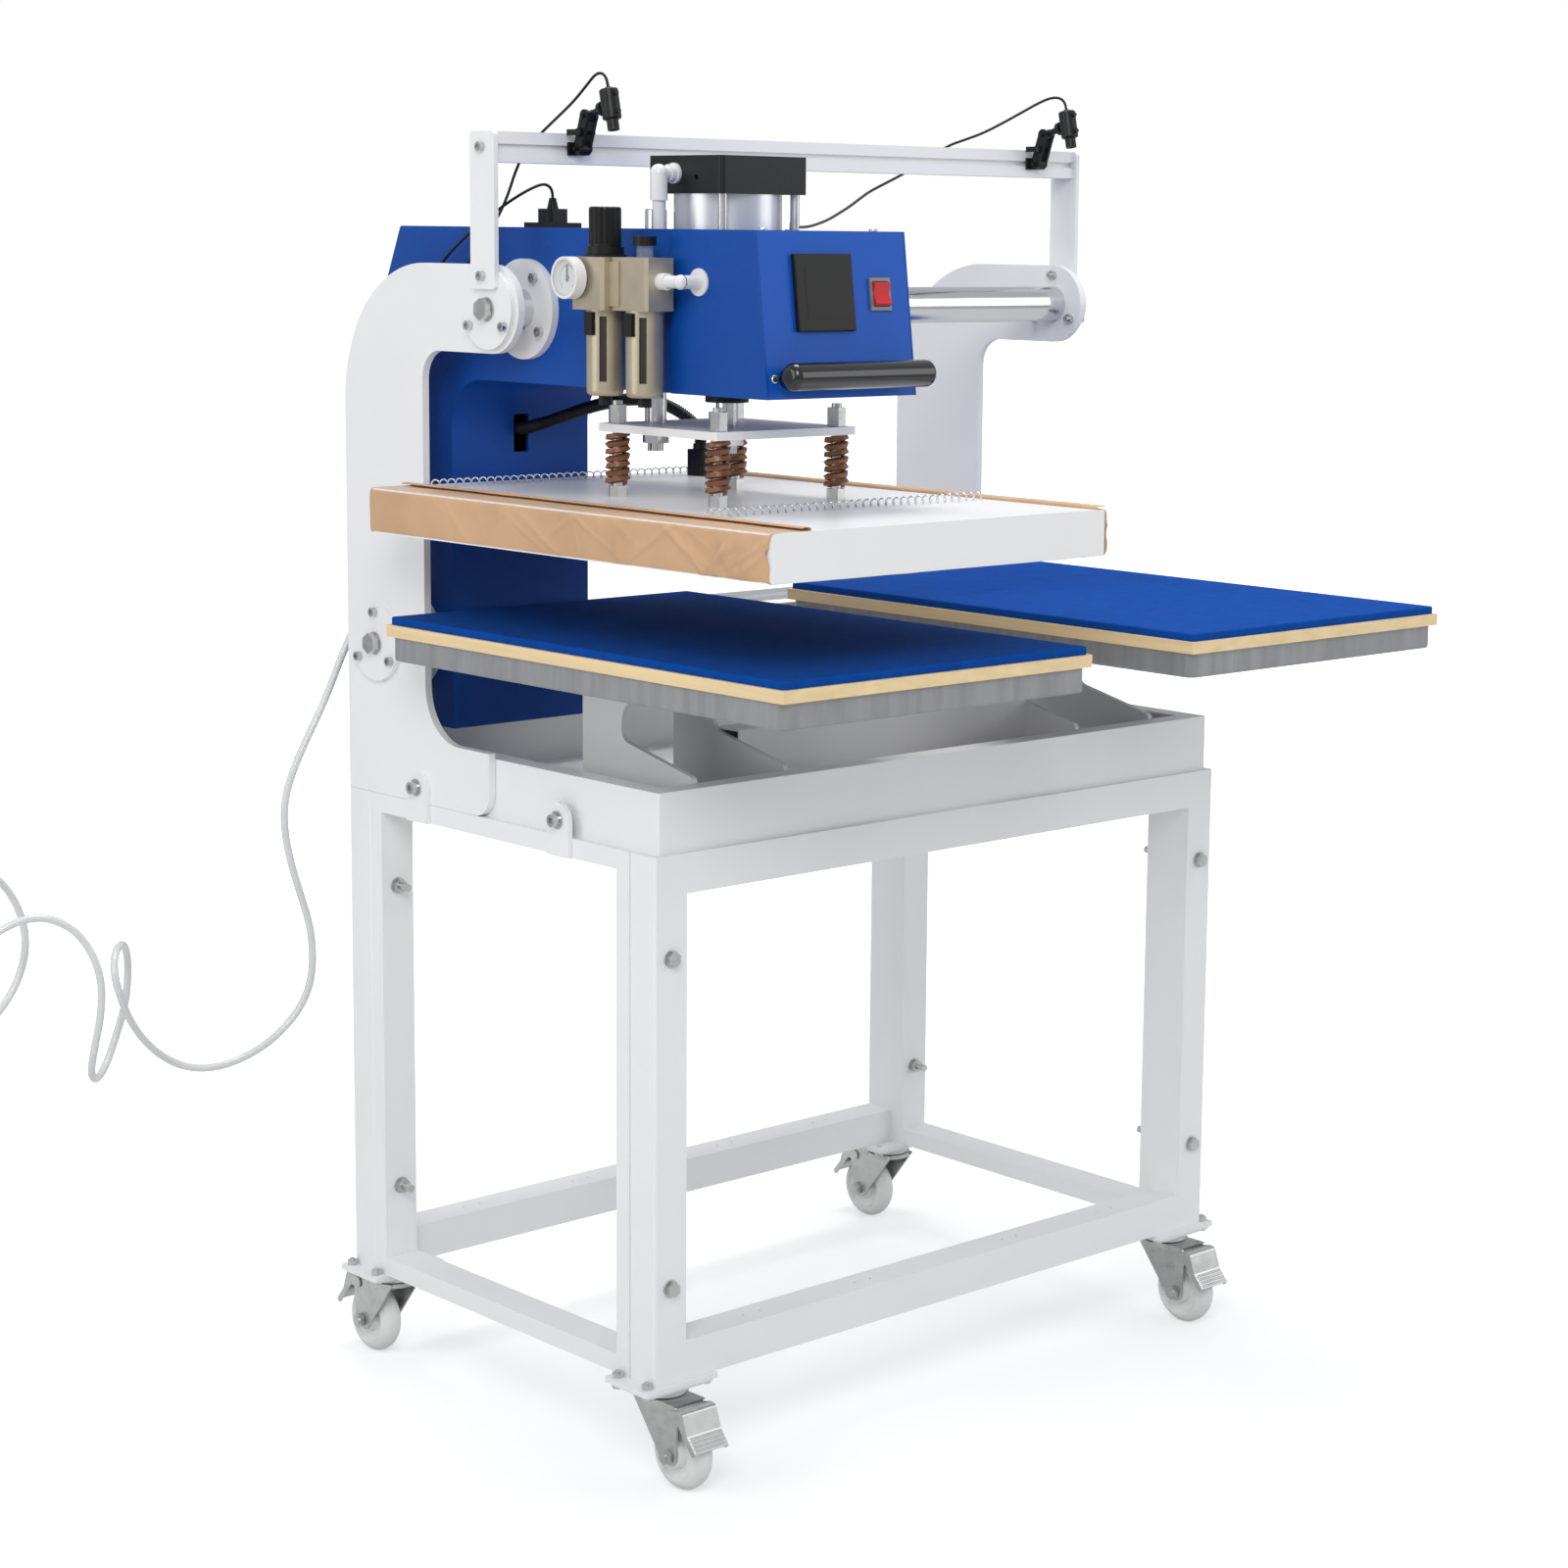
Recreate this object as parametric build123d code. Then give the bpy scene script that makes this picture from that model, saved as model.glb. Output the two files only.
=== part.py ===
from build123d import *
import math
import os

# Dual station heat press on a wheeled stand, in millimetres.
# X runs along the long front of the stand, Y goes to the back, Z is up.
# The origin is on the floor, under the middle of the machine without its hose.

# Stand
stand_width = 812.0
stand_depth = 520.0
leg_bottom_z = 108.0
leg_length = 532.0
tube_size = 40.0
tube_wall = 2.0
end_tube_thickness = 20.0
end_tube_wall = 1.5
front_y = -157.0
middle_shift = 8.7
frame_bolt_radius = 4.0
frame_bolt_heights = (98.0, 430.0)
rail_hole_radius = 1.6
rail_hole_spacing = 22.0
tab_width = 36.0
tab_thickness = 5.0
tab_bolt_rise = 17.0
tab_depths = (147.0, 388.0)
fit_gap = 0.3
thread_gap = 0.05
washer_thickness = 1.5

# Tray
tray_height = 61.0
tray_wall = 2.0
tray_lip = 24.0
tray_inset = 5.0

# Side plates
side_plate_thickness = 8.0
side_plate_height = 560.0
side_plate_back = 518.0
side_plate_column = 141.0
side_plate_foot_front = 267.0
side_plate_foot_height = 67.0
side_plate_back_radius = 145.0
side_plate_inner_radius = 30.0
side_plate_foot_radius = 58.0
side_plate_toe_radius = 24.0
arm_end_radius = 44.0

# Guide shafts
shaft_radius = 20.0
upper_shaft_depth = 257.0
upper_shaft_rise = 516.0
lower_shaft_depth = 459.0
lower_shaft_rise = 162.0
clamp_disc_radius = 40.0
clamp_disc_thickness = 6.0
clamp_screw_circle = 33.0
clamp_screw_radius = 3.0
shaft_bolt_radius = 6.0
shaft_bolt_depth = 26.0

# Stations
station_x = 272.0
platen_depth_centre = 48.0

# Lower platens
board_width = 398.0
board_length = 610.0
board_thickness = 12.0
board_bottom_rise = 184.5
pad_width = 391.0
pad_length = 603.0
pad_thickness = 8.0
pad_corner_radius = 4.0
platen_width = 392.0
platen_length = 602.0
platen_thickness = 25.0
platen_corner_radius = 12.0

# Platen brackets
bracket_spacing = 119.0
bracket_thickness = 6.0
bracket_back_depth = 204.0
bracket_throat_depth = 141.0
bracket_toe_depth = 30.0
bracket_arm_depth = 14.0
bracket_toe_height = 66.0
bracket_arm_thickness = 26.0
bracket_throat_radius = 26.0
cross_channel_depth = 34.0
cross_channel_height = 90.0
cross_channel_front = 106.0

# Head
head_width = 178.0
head_top_rise = 597.0
head_arm_height = 155.0
head_column_front = 389.0
head_back = 520.0
head_column_bottom_rise = 74.0
head_wall = 4.0
head_corner_radius = 50.0
head_slant_depth = 42.0
head_slant_height = 92.0
box_width = 190.0
box_back_depth = 23.0
box_wall = 2.0
panel_top_depth = -95.0
panel_bottom_depth = -114.5
panel_thickness = 2.0
panel_flange = 34.0
panel_foot = 18.0
flange_screw_spacing = 140.0
conduit_slot_width = 19.0
conduit_slot_height = 48.0
conduit_slot_top_rise = 410.0
grommet_depth = -17.0
grommet_rise = 548.0
grommet_radius = 10.0
hose_inlet_left = 48.0
hose_inlet_rise = 277.0
hose_inlet_radius = 8.0
cable_gland_right = 74.0
cable_gland_depth = 45.0
cable_gland_radius = 4.0

# Slide bearings
bearing_flange_radius = 50.0
bearing_flange_thickness = 8.0
bearing_sleeve_radius = 30.0
bearing_sleeve_length = 58.0
bearing_bolt_circle = 38.0
bearing_bolt_radius = 3.0

# Panel parts
screen_size = 72.0
screen_thickness = 5.0
screen_from_left = 42.0
screen_depth = 48.0
display_width = 49.0
display_height = 48.0
screen_from_top = 22.0
bezel_width = 26.0
bezel_height = 31.0
bezel_thickness = 2.5
bezel_from_right = 39.0
bezel_from_top = 59.5
rocker_width = 20.0
switch_depth = 22.0
rocker_radius = 11.6
handle_radius = 13.0
handle_length = 181.0
handle_standoff = 26.0
handle_leg_radius = 9.0
handle_from_bottom = 19.0
handle_leg_spacing = 140.0
handle_screw_radius = 3.0
panel_screw_left = 10.0

# Power outlet on the head
outlet_left = 15.0
outlet_depth = 313.0
plug_height = 25.0
hose_start_out = 20.0

# Air cylinder
press_depth = 54.0
cylinder_cap_size = 110.0
cylinder_cap_height = 36.0
cylinder_cap_corner = 5.0
cylinder_top_rise = 667.0
cylinder_barrel_radius = 52.5
cylinder_bore_radius = 50.0
cylinder_foot_height = 32.0
tie_rod_radius = 4.5
tie_rod_spacing = 92.0
tie_rod_thread = 15.0
cap_port_drop = 17.0
cap_port_behind = 14.0
air_tube_out = 20.0
air_tube_radius = 6.0
fitting_thread_radius = 7.0
piston_thickness = 30.0
piston_rod_radius = 11.0
piston_thread_radius = 10.0
guide_rod_radius = 10.75
guide_rod_thread_radius = 8.0
guide_rod_left = 36.0
guide_rod_behind = 66.0
guide_rod_top_rise = 616.0
guide_bush_radius = 14.0
guide_bush_length = 45.0
bush_flange_radius = 21.5
bush_flange_thickness = 12.0
running_gap = 0.05
rod_nut_height = 12.0
rod_thread_length = 20.0

# Press plate and heat platen
plate_size = 180.0
plate_thickness = 8.0
plate_bottom_rise = 400.0
spring_spacing = 152.0
spring_mean_radius = 9.5
spring_wire_radial = 5.0
spring_wire_axial = 4.4
spring_turns = 7
platen_bolt_radius = 5.0
platen_bolt_head_height = 11.0
platen_bolt_head_radius = 9.5
platen_bolt_nut_height = 10.0
platen_bolt_nut_gap = 0.3
heat_platen_width = 430.0
heat_platen_length = 610.0
heat_platen_top_rise = 336.0
heat_platen_height = 44.5
cover_wall = 2.0
element_thickness = 22.0
element_margin = 6.0
sleeve_thickness = 1.0
sleeve_hem_left = 48.0
sleeve_hem_right = 12.0
hem_radius = 3.0
hold_spring_depths = (-110.0, 318.0)
hold_spring_radius = 3.3
hold_spring_wire = 1.6
hold_spring_turns = 36
hold_spring_hook = 2.0
terminal_block_x = 166.0
terminal_block_depth = 292.0
terminal_block_size = (18.0, 26.0, 28.0)

# Filter, regulator and oiler
filter_gap = 11.0
regulator_width = 46.0
regulator_length = 48.0
oiler_width = 36.0
oiler_length = 54.0
filter_height = 50.0
filter_front_depth = 12.0
filter_bottom_rise = 520.0
bowl_radius = 18.0
bowl_length = 82.0
bowl_wall = 2.0
sight_slot_width = 7.0
knob_radius = 15.5
knob_height = 38.0
knob_collar_radius = 18.0
dome_radius = 11.0
dome_height = 20.0
gauge_radius = 20.0
gauge_thickness = 16.0
needle_length = 13.0

# Laser gantry
post_width = 40.0
post_thickness = 5.0
gantry_top_rise = 690.0
post_bottom_rise = 536.0
laser_bar_height = 30.0
laser_bar_depth = 30.0
laser_bar_groove = 6.0
laser_bar_groove_depth = 5.0
laser_x = (-312.0, 344.0)
laser_clamp_width = 22.0
laser_clamp_thickness = 3.0
laser_arm_length = 34.0
laser_arm_radius = 6.5
laser_arm_thickness = 3.0
laser_arm_gap = 8.0
laser_neck_radius = 3.6
laser_body_radius = 9.5
laser_body_length = 30.0
laser_reach = 34.0
laser_lift = 11.0
laser_nozzle_radius = 6.0
laser_nozzle_length = 11.0
laser_lean = 12.0
laser_arm_lean = 19.0
laser_pin_radius = 2.0

# Casters
foot_plate_width = 94.0
foot_plate_depth = 68.0
foot_plate_thickness = 5.0
foot_plate_out = 16.0
foot_plate_forward = 7.0
caster_hole_x = 75.0
caster_hole_y = 46.0
caster_bolt_radius = 3.0
caster_plate_thickness = 3.0
raceway_radius = 25.0
raceway_height = 9.0
caster_trail = 34.0
wheel_radius = 37.5
wheel_width = 26.0
wheel_hub_radius = 13.0
wheel_hub_width = 31.0
fork_inner_width = 34.0
fork_thickness = 2.5
caster_axle_radius = 5.0
axle_gap = 0.05
pedal_sheet = 1.8
kingpin_radius = 6.0
fork_crown_height = 5.0
fork_reach = 44.0
pedal_pin_radius = 2.5

# Cords
conduit_radius = 6.0
conduit_rib_height = 0.9
conduit_bore_radius = 5.0
conduit_ribs = 96
cable_radius = 1.5
hose_radius = 4.0
hose_coil_radius = 68.0
hose_coil_loops = 3
coil_step = 10.6

os.makedirs("parts", exist_ok=True)

# Levels that everything else is measured from
leg_top_z = leg_bottom_z + leg_length
half_width = stand_width / 2
plate_inner_x = half_width - side_plate_thickness
head_x = -station_x
head_left_x = head_x - head_width / 2
head_right_x = head_x + head_width / 2


def deep(depth):
    """Y of a place measured from the front face of the stand"""
    return front_y + depth


def rise(height):
    """Z of a place measured from the top of the stand"""
    return leg_top_z + height


def block(x0, x1, y0, y1, z0, z1):
    """Box between two corners"""
    place = Pos((x0 + x1) / 2, (y0 + y1) / 2, (z0 + z1) / 2)
    return place * Box(abs(x1 - x0), abs(y1 - y0), abs(z1 - z0))


def bar(direction, start, radius, length):
    """Round bar from a point along X, Y or Z"""
    turn = {"X": Rot(0, 90, 0), "Y": Rot(-90, 0, 0), "Z": Rot(0, 0, 0)}[direction]
    low = (Align.CENTER, Align.CENTER, Align.MIN)
    return Pos(*start) * turn * Cylinder(radius, length, align=low)


def ring(direction, start, outer, inner, length):
    """Round tube from a point along X, Y or Z"""
    return bar(direction, start, outer, length) - bar(direction, start, inner, length)


def toward(place, way, shape):
    """Shape moved to a place with its own Z turned to a direction"""
    return Plane(origin=place, z_dir=way) * shape


def hex_bolt(radius, length, head_radius, head_height):
    """Bolt with its head above zero and its shank below"""
    bolt = extrude(RegularPolygon(head_radius, 6), amount=head_height)
    return bolt + bar("Z", (0, 0, -length), radius, length)


def socket_screw(radius, length):
    """Socket head screw with its head above zero"""
    head = bar("Z", (0, 0, 0), radius * 1.6, radius * 1.8)
    head -= Pos(0, 0, radius) * extrude(RegularPolygon(radius * 0.9, 6), amount=radius)
    return head + bar("Z", (0, 0, -length), radius, length)


def hex_nut(radius, outer, height):
    """Nut above zero with a clear bore"""
    prism = extrude(RegularPolygon(outer, 6), amount=height)
    return prism - bar("Z", (0, 0, -1), radius + thread_gap, height + 2)


def washer(radius, outer, thickness):
    """Washer above zero with a clear bore"""
    return ring("Z", (0, 0, 0), outer, radius + thread_gap, thickness)


def side_face(points, radii):
    """Face in the YZ plane from corner points and their radii"""
    outline = FilletPolyline(*points, radius=radii, close=True)
    return Plane.YZ * make_face(outline)


def side_plate(points, radii, x0, thickness):
    """Plate cut from an outline in the YZ plane"""
    return Pos(x0, 0, 0) * extrude(side_face(points, radii), amount=thickness)


def write(name, solids):
    """One STEP file for one node"""
    shapes = []
    for item in solids:
        shapes += list((Pos(middle_shift, 0, 0) * item).solids())
    group = Compound(children=shapes) if len(shapes) > 1 else shapes[0]
    group.label = name
    export_step(group, "parts/" + name + ".step")


def button_screw(radius, length, head_radius):
    """Round-headed screw with its head above zero"""
    head = bar("Z", (0, 0, 0), head_radius, head_radius * 0.6)
    head = fillet(head.faces().sort_by(Axis.Z)[-1].edges(), head_radius * 0.4)
    return head + bar("Z", (0, 0, -length), radius, length)


# Square tube frames at the front and the back of the stand
def long_frame(y0):
    z0, z1 = leg_bottom_z, leg_top_z
    outer = block(-half_width, half_width, y0, y0 + tube_size, z0, z1)
    edge = half_width - tube_size
    window = block(-edge, edge, y0, y0 + tube_size, z0 + tube_size, z1 - tube_size)
    frame = outer - window
    frame = fillet(frame.edges().filter_by(Axis.Z).group_by(SortBy.LENGTH)[-1], 3)
    w = tube_wall
    core = block(-half_width + w, half_width - w, y0 + w, y0 + tube_size - w, z0 + w, z1 - w)
    post = block(-edge - w, edge + w, y0, y0 + tube_size,
                 z0 + tube_size - w, z1 - tube_size + w)
    frame -= core - post
    for side in (-1, 1):
        for height in frame_bolt_heights:
            x = side * (half_width - tube_size / 2)
            z = leg_bottom_z + height
            frame -= bar("Y", (x, y0 - 1, z), frame_bolt_radius + fit_gap, tube_size + 2)
    for x in (-edge * 0.72, -edge * 0.3, edge * 0.3, edge * 0.72):
        for shift in (-rail_hole_spacing / 2, rail_hole_spacing / 2):
            spot = (x + shift, y0 + tube_size / 2, z0 + tube_size - w - 1)
            frame -= bar("Z", spot, rail_hole_radius, w + 2)
    return frame


write("long_frames", [long_frame(deep(0)), long_frame(deep(stand_depth - tube_size))])


# Flat tube frames at the two ends, each with two round-topped tabs
def end_frame(side):
    y0, y1 = deep(tube_size), deep(stand_depth - tube_size)
    x0, x1 = half_width - tube_size, half_width
    z0, z1 = leg_bottom_z, leg_top_z
    t, w = end_tube_thickness, end_tube_wall
    frame = block(x0, x1, y0, y1, z0, z1) - block(x0, x1, y0 + t, y1 - t, z0 + t, z1 - t)
    core = block(x0 + w, x1 - w, y0 + w, y1 - w, z0 + w, z1 - w)
    frame -= core - block(x0, x1, y0 + t - w, y1 - t + w, z0 + t - w, z1 - t + w)
    for height in frame_bolt_heights:
        for y in (y0 - 1, y1 - t - 1):
            spot = ((x0 + x1) / 2, y, leg_bottom_z + height)
            frame -= bar("Y", spot, frame_bolt_radius + fit_gap, t + 2)
    for depth in tab_depths:
        half = tab_width / 2
        y = deep(depth)
        tab_top = leg_top_z + tab_bolt_rise
        tab = block(x1, x1 + tab_thickness, y - half, y + half, z1 - t, tab_top)
        tab += bar("X", (x1, y, tab_top), half, tab_thickness)
        tab -= bar("X", (x1 - 1, y, tab_top), frame_bolt_radius + fit_gap, tab_thickness + 2)
        frame += tab
    return frame if side > 0 else mirror(frame, Plane.YZ)


write("end_frames", [end_frame(-1), end_frame(1)])


# Screws through the legs, with washers, nuts and showing thread ends
stand_fasteners = []


def leg_bolt(x, y_face, z, outward):
    reach = tube_size + end_tube_thickness
    seat = (x, y_face + outward * washer_thickness, z)
    back = (x, y_face - outward * reach, z)
    way, inward = (0, outward, 0), (0, -outward, 0)
    shank = reach + washer_thickness + 20
    stand_fasteners.append(toward(seat, way, hex_bolt(frame_bolt_radius, shank, 7.5, 5.5)))
    flat = washer(frame_bolt_radius, 9, washer_thickness)
    stand_fasteners.append(toward((x, y_face, z), way, flat))
    stand_fasteners.append(toward(back, inward, flat))
    nut_seat = (x, back[1] - outward * washer_thickness, z)
    nut = hex_nut(frame_bolt_radius, 7.5, 6.5)
    stand_fasteners.append(toward(nut_seat, inward, nut))


for side in (-1, 1):
    leg_x = side * (half_width - tube_size / 2)
    for height in frame_bolt_heights:
        leg_bolt(leg_x, deep(0), leg_bottom_z + height, -1)
        leg_bolt(leg_x, deep(stand_depth), leg_bottom_z + height, 1)


# Open tray with a lip, standing on the frames between the side plates
tray_half = plate_inner_x - fit_gap
tray_y0, tray_y1 = deep(tray_inset), deep(stand_depth - tray_inset)
tray_z0, tray_z1 = leg_top_z, rise(tray_height)
tray = block(-tray_half, tray_half, tray_y0, tray_y1, tray_z0, tray_z1)
tray = fillet(tray.edges().filter_by(Axis.Z), 2.5)
w = tray_wall
tray -= block(-tray_half + w, tray_half - w, tray_y0 + w, tray_y1 - w,
              tray_z0 + w, tray_z1 - w)
mouth = tray_lip
tray -= block(-tray_half + mouth, tray_half - mouth, tray_y0 + mouth, tray_y1 - mouth,
              tray_z1 - w - 1, tray_z1 + 1)


# Screws from each tab through the side plate or a spacer into the tray wall
for side in (-1, 1):
    for depth in tab_depths:
        z = leg_top_z + tab_bolt_rise
        tab_face = side * (half_width + tab_thickness)
        inner = side * (tray_half - tray_wall)
        hole_x = min(tab_face, inner) - 1
        span = abs(tab_face - inner) + 2
        hole = bar("X", (hole_x, deep(depth), z), frame_bolt_radius + fit_gap, span)
        tray -= hole
        way, back = (side, 0, 0), (-side, 0, 0)
        flat = washer(frame_bolt_radius, 9, washer_thickness)
        stand_fasteners.append(toward((tab_face, deep(depth), z), way, flat))
        seat = (tab_face + side * washer_thickness, deep(depth), z)
        stand_fasteners.append(toward(seat, way, socket_screw(frame_bolt_radius, span + 14)))
        nut = hex_nut(frame_bolt_radius, 7.5, 6.5)
        stand_fasteners.append(toward((inner, deep(depth), z), back, nut))
        if depth < side_plate_foot_front:
            length = side_plate_thickness
            spacer = washer(frame_bolt_radius, 9, length)
            stand_fasteners.append(toward((side * half_width, deep(depth), z), back, spacer))

write("tray", [tray])


# C-shaped side plates that carry the shafts
arm_z = rise(upper_shaft_rise)
arm_y = deep(upper_shaft_depth)
lower_z = rise(lower_shaft_rise)
lower_y = deep(lower_shaft_depth)


def column_plate(side):
    back = deep(side_plate_back)
    front = deep(side_plate_back - side_plate_column)
    toe = deep(side_plate_foot_front)
    top, foot = rise(side_plate_height), rise(side_plate_foot_height)
    under = top - 2 * arm_end_radius
    nose = arm_y - arm_end_radius
    base = leg_top_z + fit_gap
    points = [(back, base), (back, top), (nose, top), (nose, under), (front, under),
              (front, foot), (toe, foot), (toe, base)]
    r = arm_end_radius - 0.01
    radii = [0, side_plate_back_radius, r, r, side_plate_inner_radius,
             side_plate_foot_radius, 0, side_plate_toe_radius]
    x0 = plate_inner_x if side > 0 else -half_width
    plate = side_plate(points, radii, x0, side_plate_thickness)
    span = side_plate_thickness + 2
    for y, z in ((arm_y, arm_z), (lower_y, lower_z)):
        plate -= bar("X", (x0 - 1, y, z), shaft_bolt_radius + fit_gap, span)
        for turn in (90, 210, 330):
            dy = clamp_screw_circle * math.cos(math.radians(turn))
            dz = clamp_screw_circle * math.sin(math.radians(turn))
            hole = bar("X", (x0 - 1, y + dy, z + dz), clamp_screw_radius + fit_gap, span)
            plate -= hole
    bolt_y = deep(tab_depths[1])
    hole = bar("X", (x0 - 1, bolt_y, leg_top_z + tab_bolt_rise),
               frame_bolt_radius + fit_gap, span)
    return plate - hole


write("side_plates", [column_plate(-1), column_plate(1)])


# Two hardened shafts with clamp discs, end bolts and screws
guide_shafts = []
shaft_discs = []


def clamp_screw_places(y, z):
    """Places of the three clamp screws round a shaft end, the top one first"""
    places = []
    for turn in (90, 210, 330):
        dy = clamp_screw_circle * math.cos(math.radians(turn))
        dz = clamp_screw_circle * math.sin(math.radians(turn))
        places.append((y + dy, z + dz))
    return places


def shaft_end(y, z, side):
    way, back = (side, 0, 0), (-side, 0, 0)
    disc_face = half_width + clamp_disc_thickness
    disc = bar("X", (half_width, y, z), clamp_disc_radius, clamp_disc_thickness)
    bolt_hole = shaft_bolt_radius + fit_gap
    disc -= bar("X", (half_width - 1, y, z), bolt_hole, clamp_disc_thickness + 2)
    for screw_y, screw_z in clamp_screw_places(y, z):
        hole_radius = clamp_screw_radius + fit_gap
        disc -= bar("X", (half_width - 1, screw_y, screw_z), hole_radius,
                    clamp_disc_thickness + 2)
        on_post = z > lower_z and screw_z > z
        seat_x = disc_face + (post_thickness if on_post else 0)
        length = seat_x - plate_inner_x + 9
        screw = socket_screw(clamp_screw_radius, length)
        stand_fasteners.append(toward((side * seat_x, screw_y, screw_z), way, screw))
        nut = hex_nut(clamp_screw_radius, 5.5, 5)
        nut_place = (side * plate_inner_x, screw_y, screw_z)
        stand_fasteners.append(toward(nut_place, back, nut))
    shaft_discs.append(disc if side > 0 else mirror(disc, Plane.YZ))
    stack = disc_face - plate_inner_x + washer_thickness + shaft_bolt_depth
    bolt = hex_bolt(shaft_bolt_radius, stack, 11, 8)
    seat = (side * (disc_face + washer_thickness), y, z)
    stand_fasteners.append(toward(seat, way, bolt))
    flat = washer(shaft_bolt_radius, 12, washer_thickness)
    stand_fasteners.append(toward((side * disc_face, y, z), way, flat))


for y, z in ((arm_y, arm_z), (lower_y, lower_z)):
    shaft = bar("X", (-plate_inner_x, y, z), shaft_radius, 2 * plate_inner_x)
    for x in (-plate_inner_x - 1, plate_inner_x - shaft_bolt_depth - 2):
        shaft -= bar("X", (x, y, z), shaft_bolt_radius + thread_gap, shaft_bolt_depth + 3)
    guide_shafts.append(shaft)
    shaft_end(y, z, -1)
    shaft_end(y, z, 1)

write("guide_shafts", guide_shafts)
write("shaft_discs", shaft_discs)


# Lower platens: aluminium casting, wood board and foam pad at both stations
board_z = rise(board_bottom_rise)
platen_y = deep(platen_depth_centre)


def slab(x, width, length, z0, thickness, radius):
    """Flat slab round a station centre with rounded upright corners"""
    body = block(x - width / 2, x + width / 2, platen_y - length / 2,
                 platen_y + length / 2, z0, z0 + thickness)
    return fillet(body.edges().filter_by(Axis.Z), radius)


castings, boards, pads = [], [], []
for x in (-station_x, station_x):
    casting = slab(x, platen_width, platen_length, board_z - platen_thickness,
                   platen_thickness, platen_corner_radius)
    casting = fillet(casting.faces().sort_by(Axis.Z)[0].edges(), 3)
    castings.append(casting)
    boards.append(slab(x, board_width, board_length, board_z, board_thickness, 2))
    pad = slab(x, pad_width, pad_length, board_z + board_thickness, pad_thickness,
               pad_corner_radius)
    pads.append(fillet(pad.faces().sort_by(Axis.Z)[-1].edges(), 1))
write("lower_platens", castings)
write("platen_boards", boards)
write("platen_pads", pads)


# Forward-open brackets under the platens and the channel between them
def bracket(x):
    z0, top = leg_top_z + tray_wall, board_z - platen_thickness
    toe_z = rise(bracket_toe_height)
    back, throat = deep(bracket_back_depth), deep(bracket_throat_depth)
    toe, nose = deep(bracket_toe_depth), deep(bracket_arm_depth)
    under = top - bracket_arm_thickness
    crook = toe_z + (throat - toe) * 0.22
    points = [(back, z0), (back, top), (nose, top), (nose, under), (throat, under),
              (throat, crook), (toe, toe_z), (toe, z0)]
    r = bracket_throat_radius
    radii = [0, 18, 0, 8, r, r * 0.5, 6, 0]
    return side_plate(points, radii, x - bracket_thickness / 2, bracket_thickness)


brackets = []
for x in (-station_x, station_x):
    for shift in (-bracket_spacing / 2, bracket_spacing / 2):
        brackets.append(bracket(x + shift))
channel_half = station_x - bracket_spacing / 2 - bracket_thickness / 2
channel_y0, channel_z0 = deep(cross_channel_front), leg_top_z + tray_wall
channel = block(-channel_half, channel_half, channel_y0, channel_y0 + cross_channel_depth,
                channel_z0, channel_z0 + cross_channel_height)
channel -= block(-channel_half - 1, channel_half + 1, channel_y0 + tray_wall,
                 channel_y0 + cross_channel_depth - tray_wall,
                 channel_z0 - 1, channel_z0 + cross_channel_height - tray_wall)
brackets.append(channel)
write("platen_brackets", brackets)


# Laser gantry: two flat posts on the clamp discs and a grooved bar
gantry_x = half_width + clamp_disc_thickness
gantry_z = rise(gantry_top_rise)
bar_z = gantry_z - laser_bar_height / 2
posts = []
for side in (-1, 1):
    x0 = gantry_x if side > 0 else -gantry_x - post_thickness
    half = post_width / 2
    bottom = rise(post_bottom_rise)
    points = [(arm_y - half, bottom), (arm_y - half, gantry_z), (arm_y + half, gantry_z),
              (arm_y + half, bottom)]
    post = side_plate(points, [4, 4, 4, 4], x0, post_thickness)
    for z in (clamp_screw_places(arm_y, arm_z)[0][1], bar_z):
        post -= bar("X", (x0 - 1, arm_y, z), clamp_screw_radius + fit_gap, post_thickness + 2)
    posts.append(post)
    screw = socket_screw(clamp_screw_radius, post_thickness + 14)
    seat = (side * (gantry_x + post_thickness), arm_y, bar_z)
    stand_fasteners.append(toward(seat, (side, 0, 0), screw))
write("laser_posts", posts)

laser_bar = block(-gantry_x, gantry_x, arm_y - laser_bar_depth / 2,
                  arm_y + laser_bar_depth / 2, gantry_z - laser_bar_height, gantry_z)
groove_half = laser_bar_groove / 2
for y in (arm_y - laser_bar_depth / 2, arm_y + laser_bar_depth / 2):
    laser_bar -= block(-gantry_x - 1, gantry_x + 1, y - laser_bar_groove_depth,
                       y + laser_bar_groove_depth, bar_z - groove_half, bar_z + groove_half)
for x in (-gantry_x - 1, gantry_x - 15):
    laser_bar -= bar("X", (x, arm_y, bar_z), clamp_screw_radius + thread_gap, 16)
write("stand_fasteners", stand_fasteners)


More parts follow.
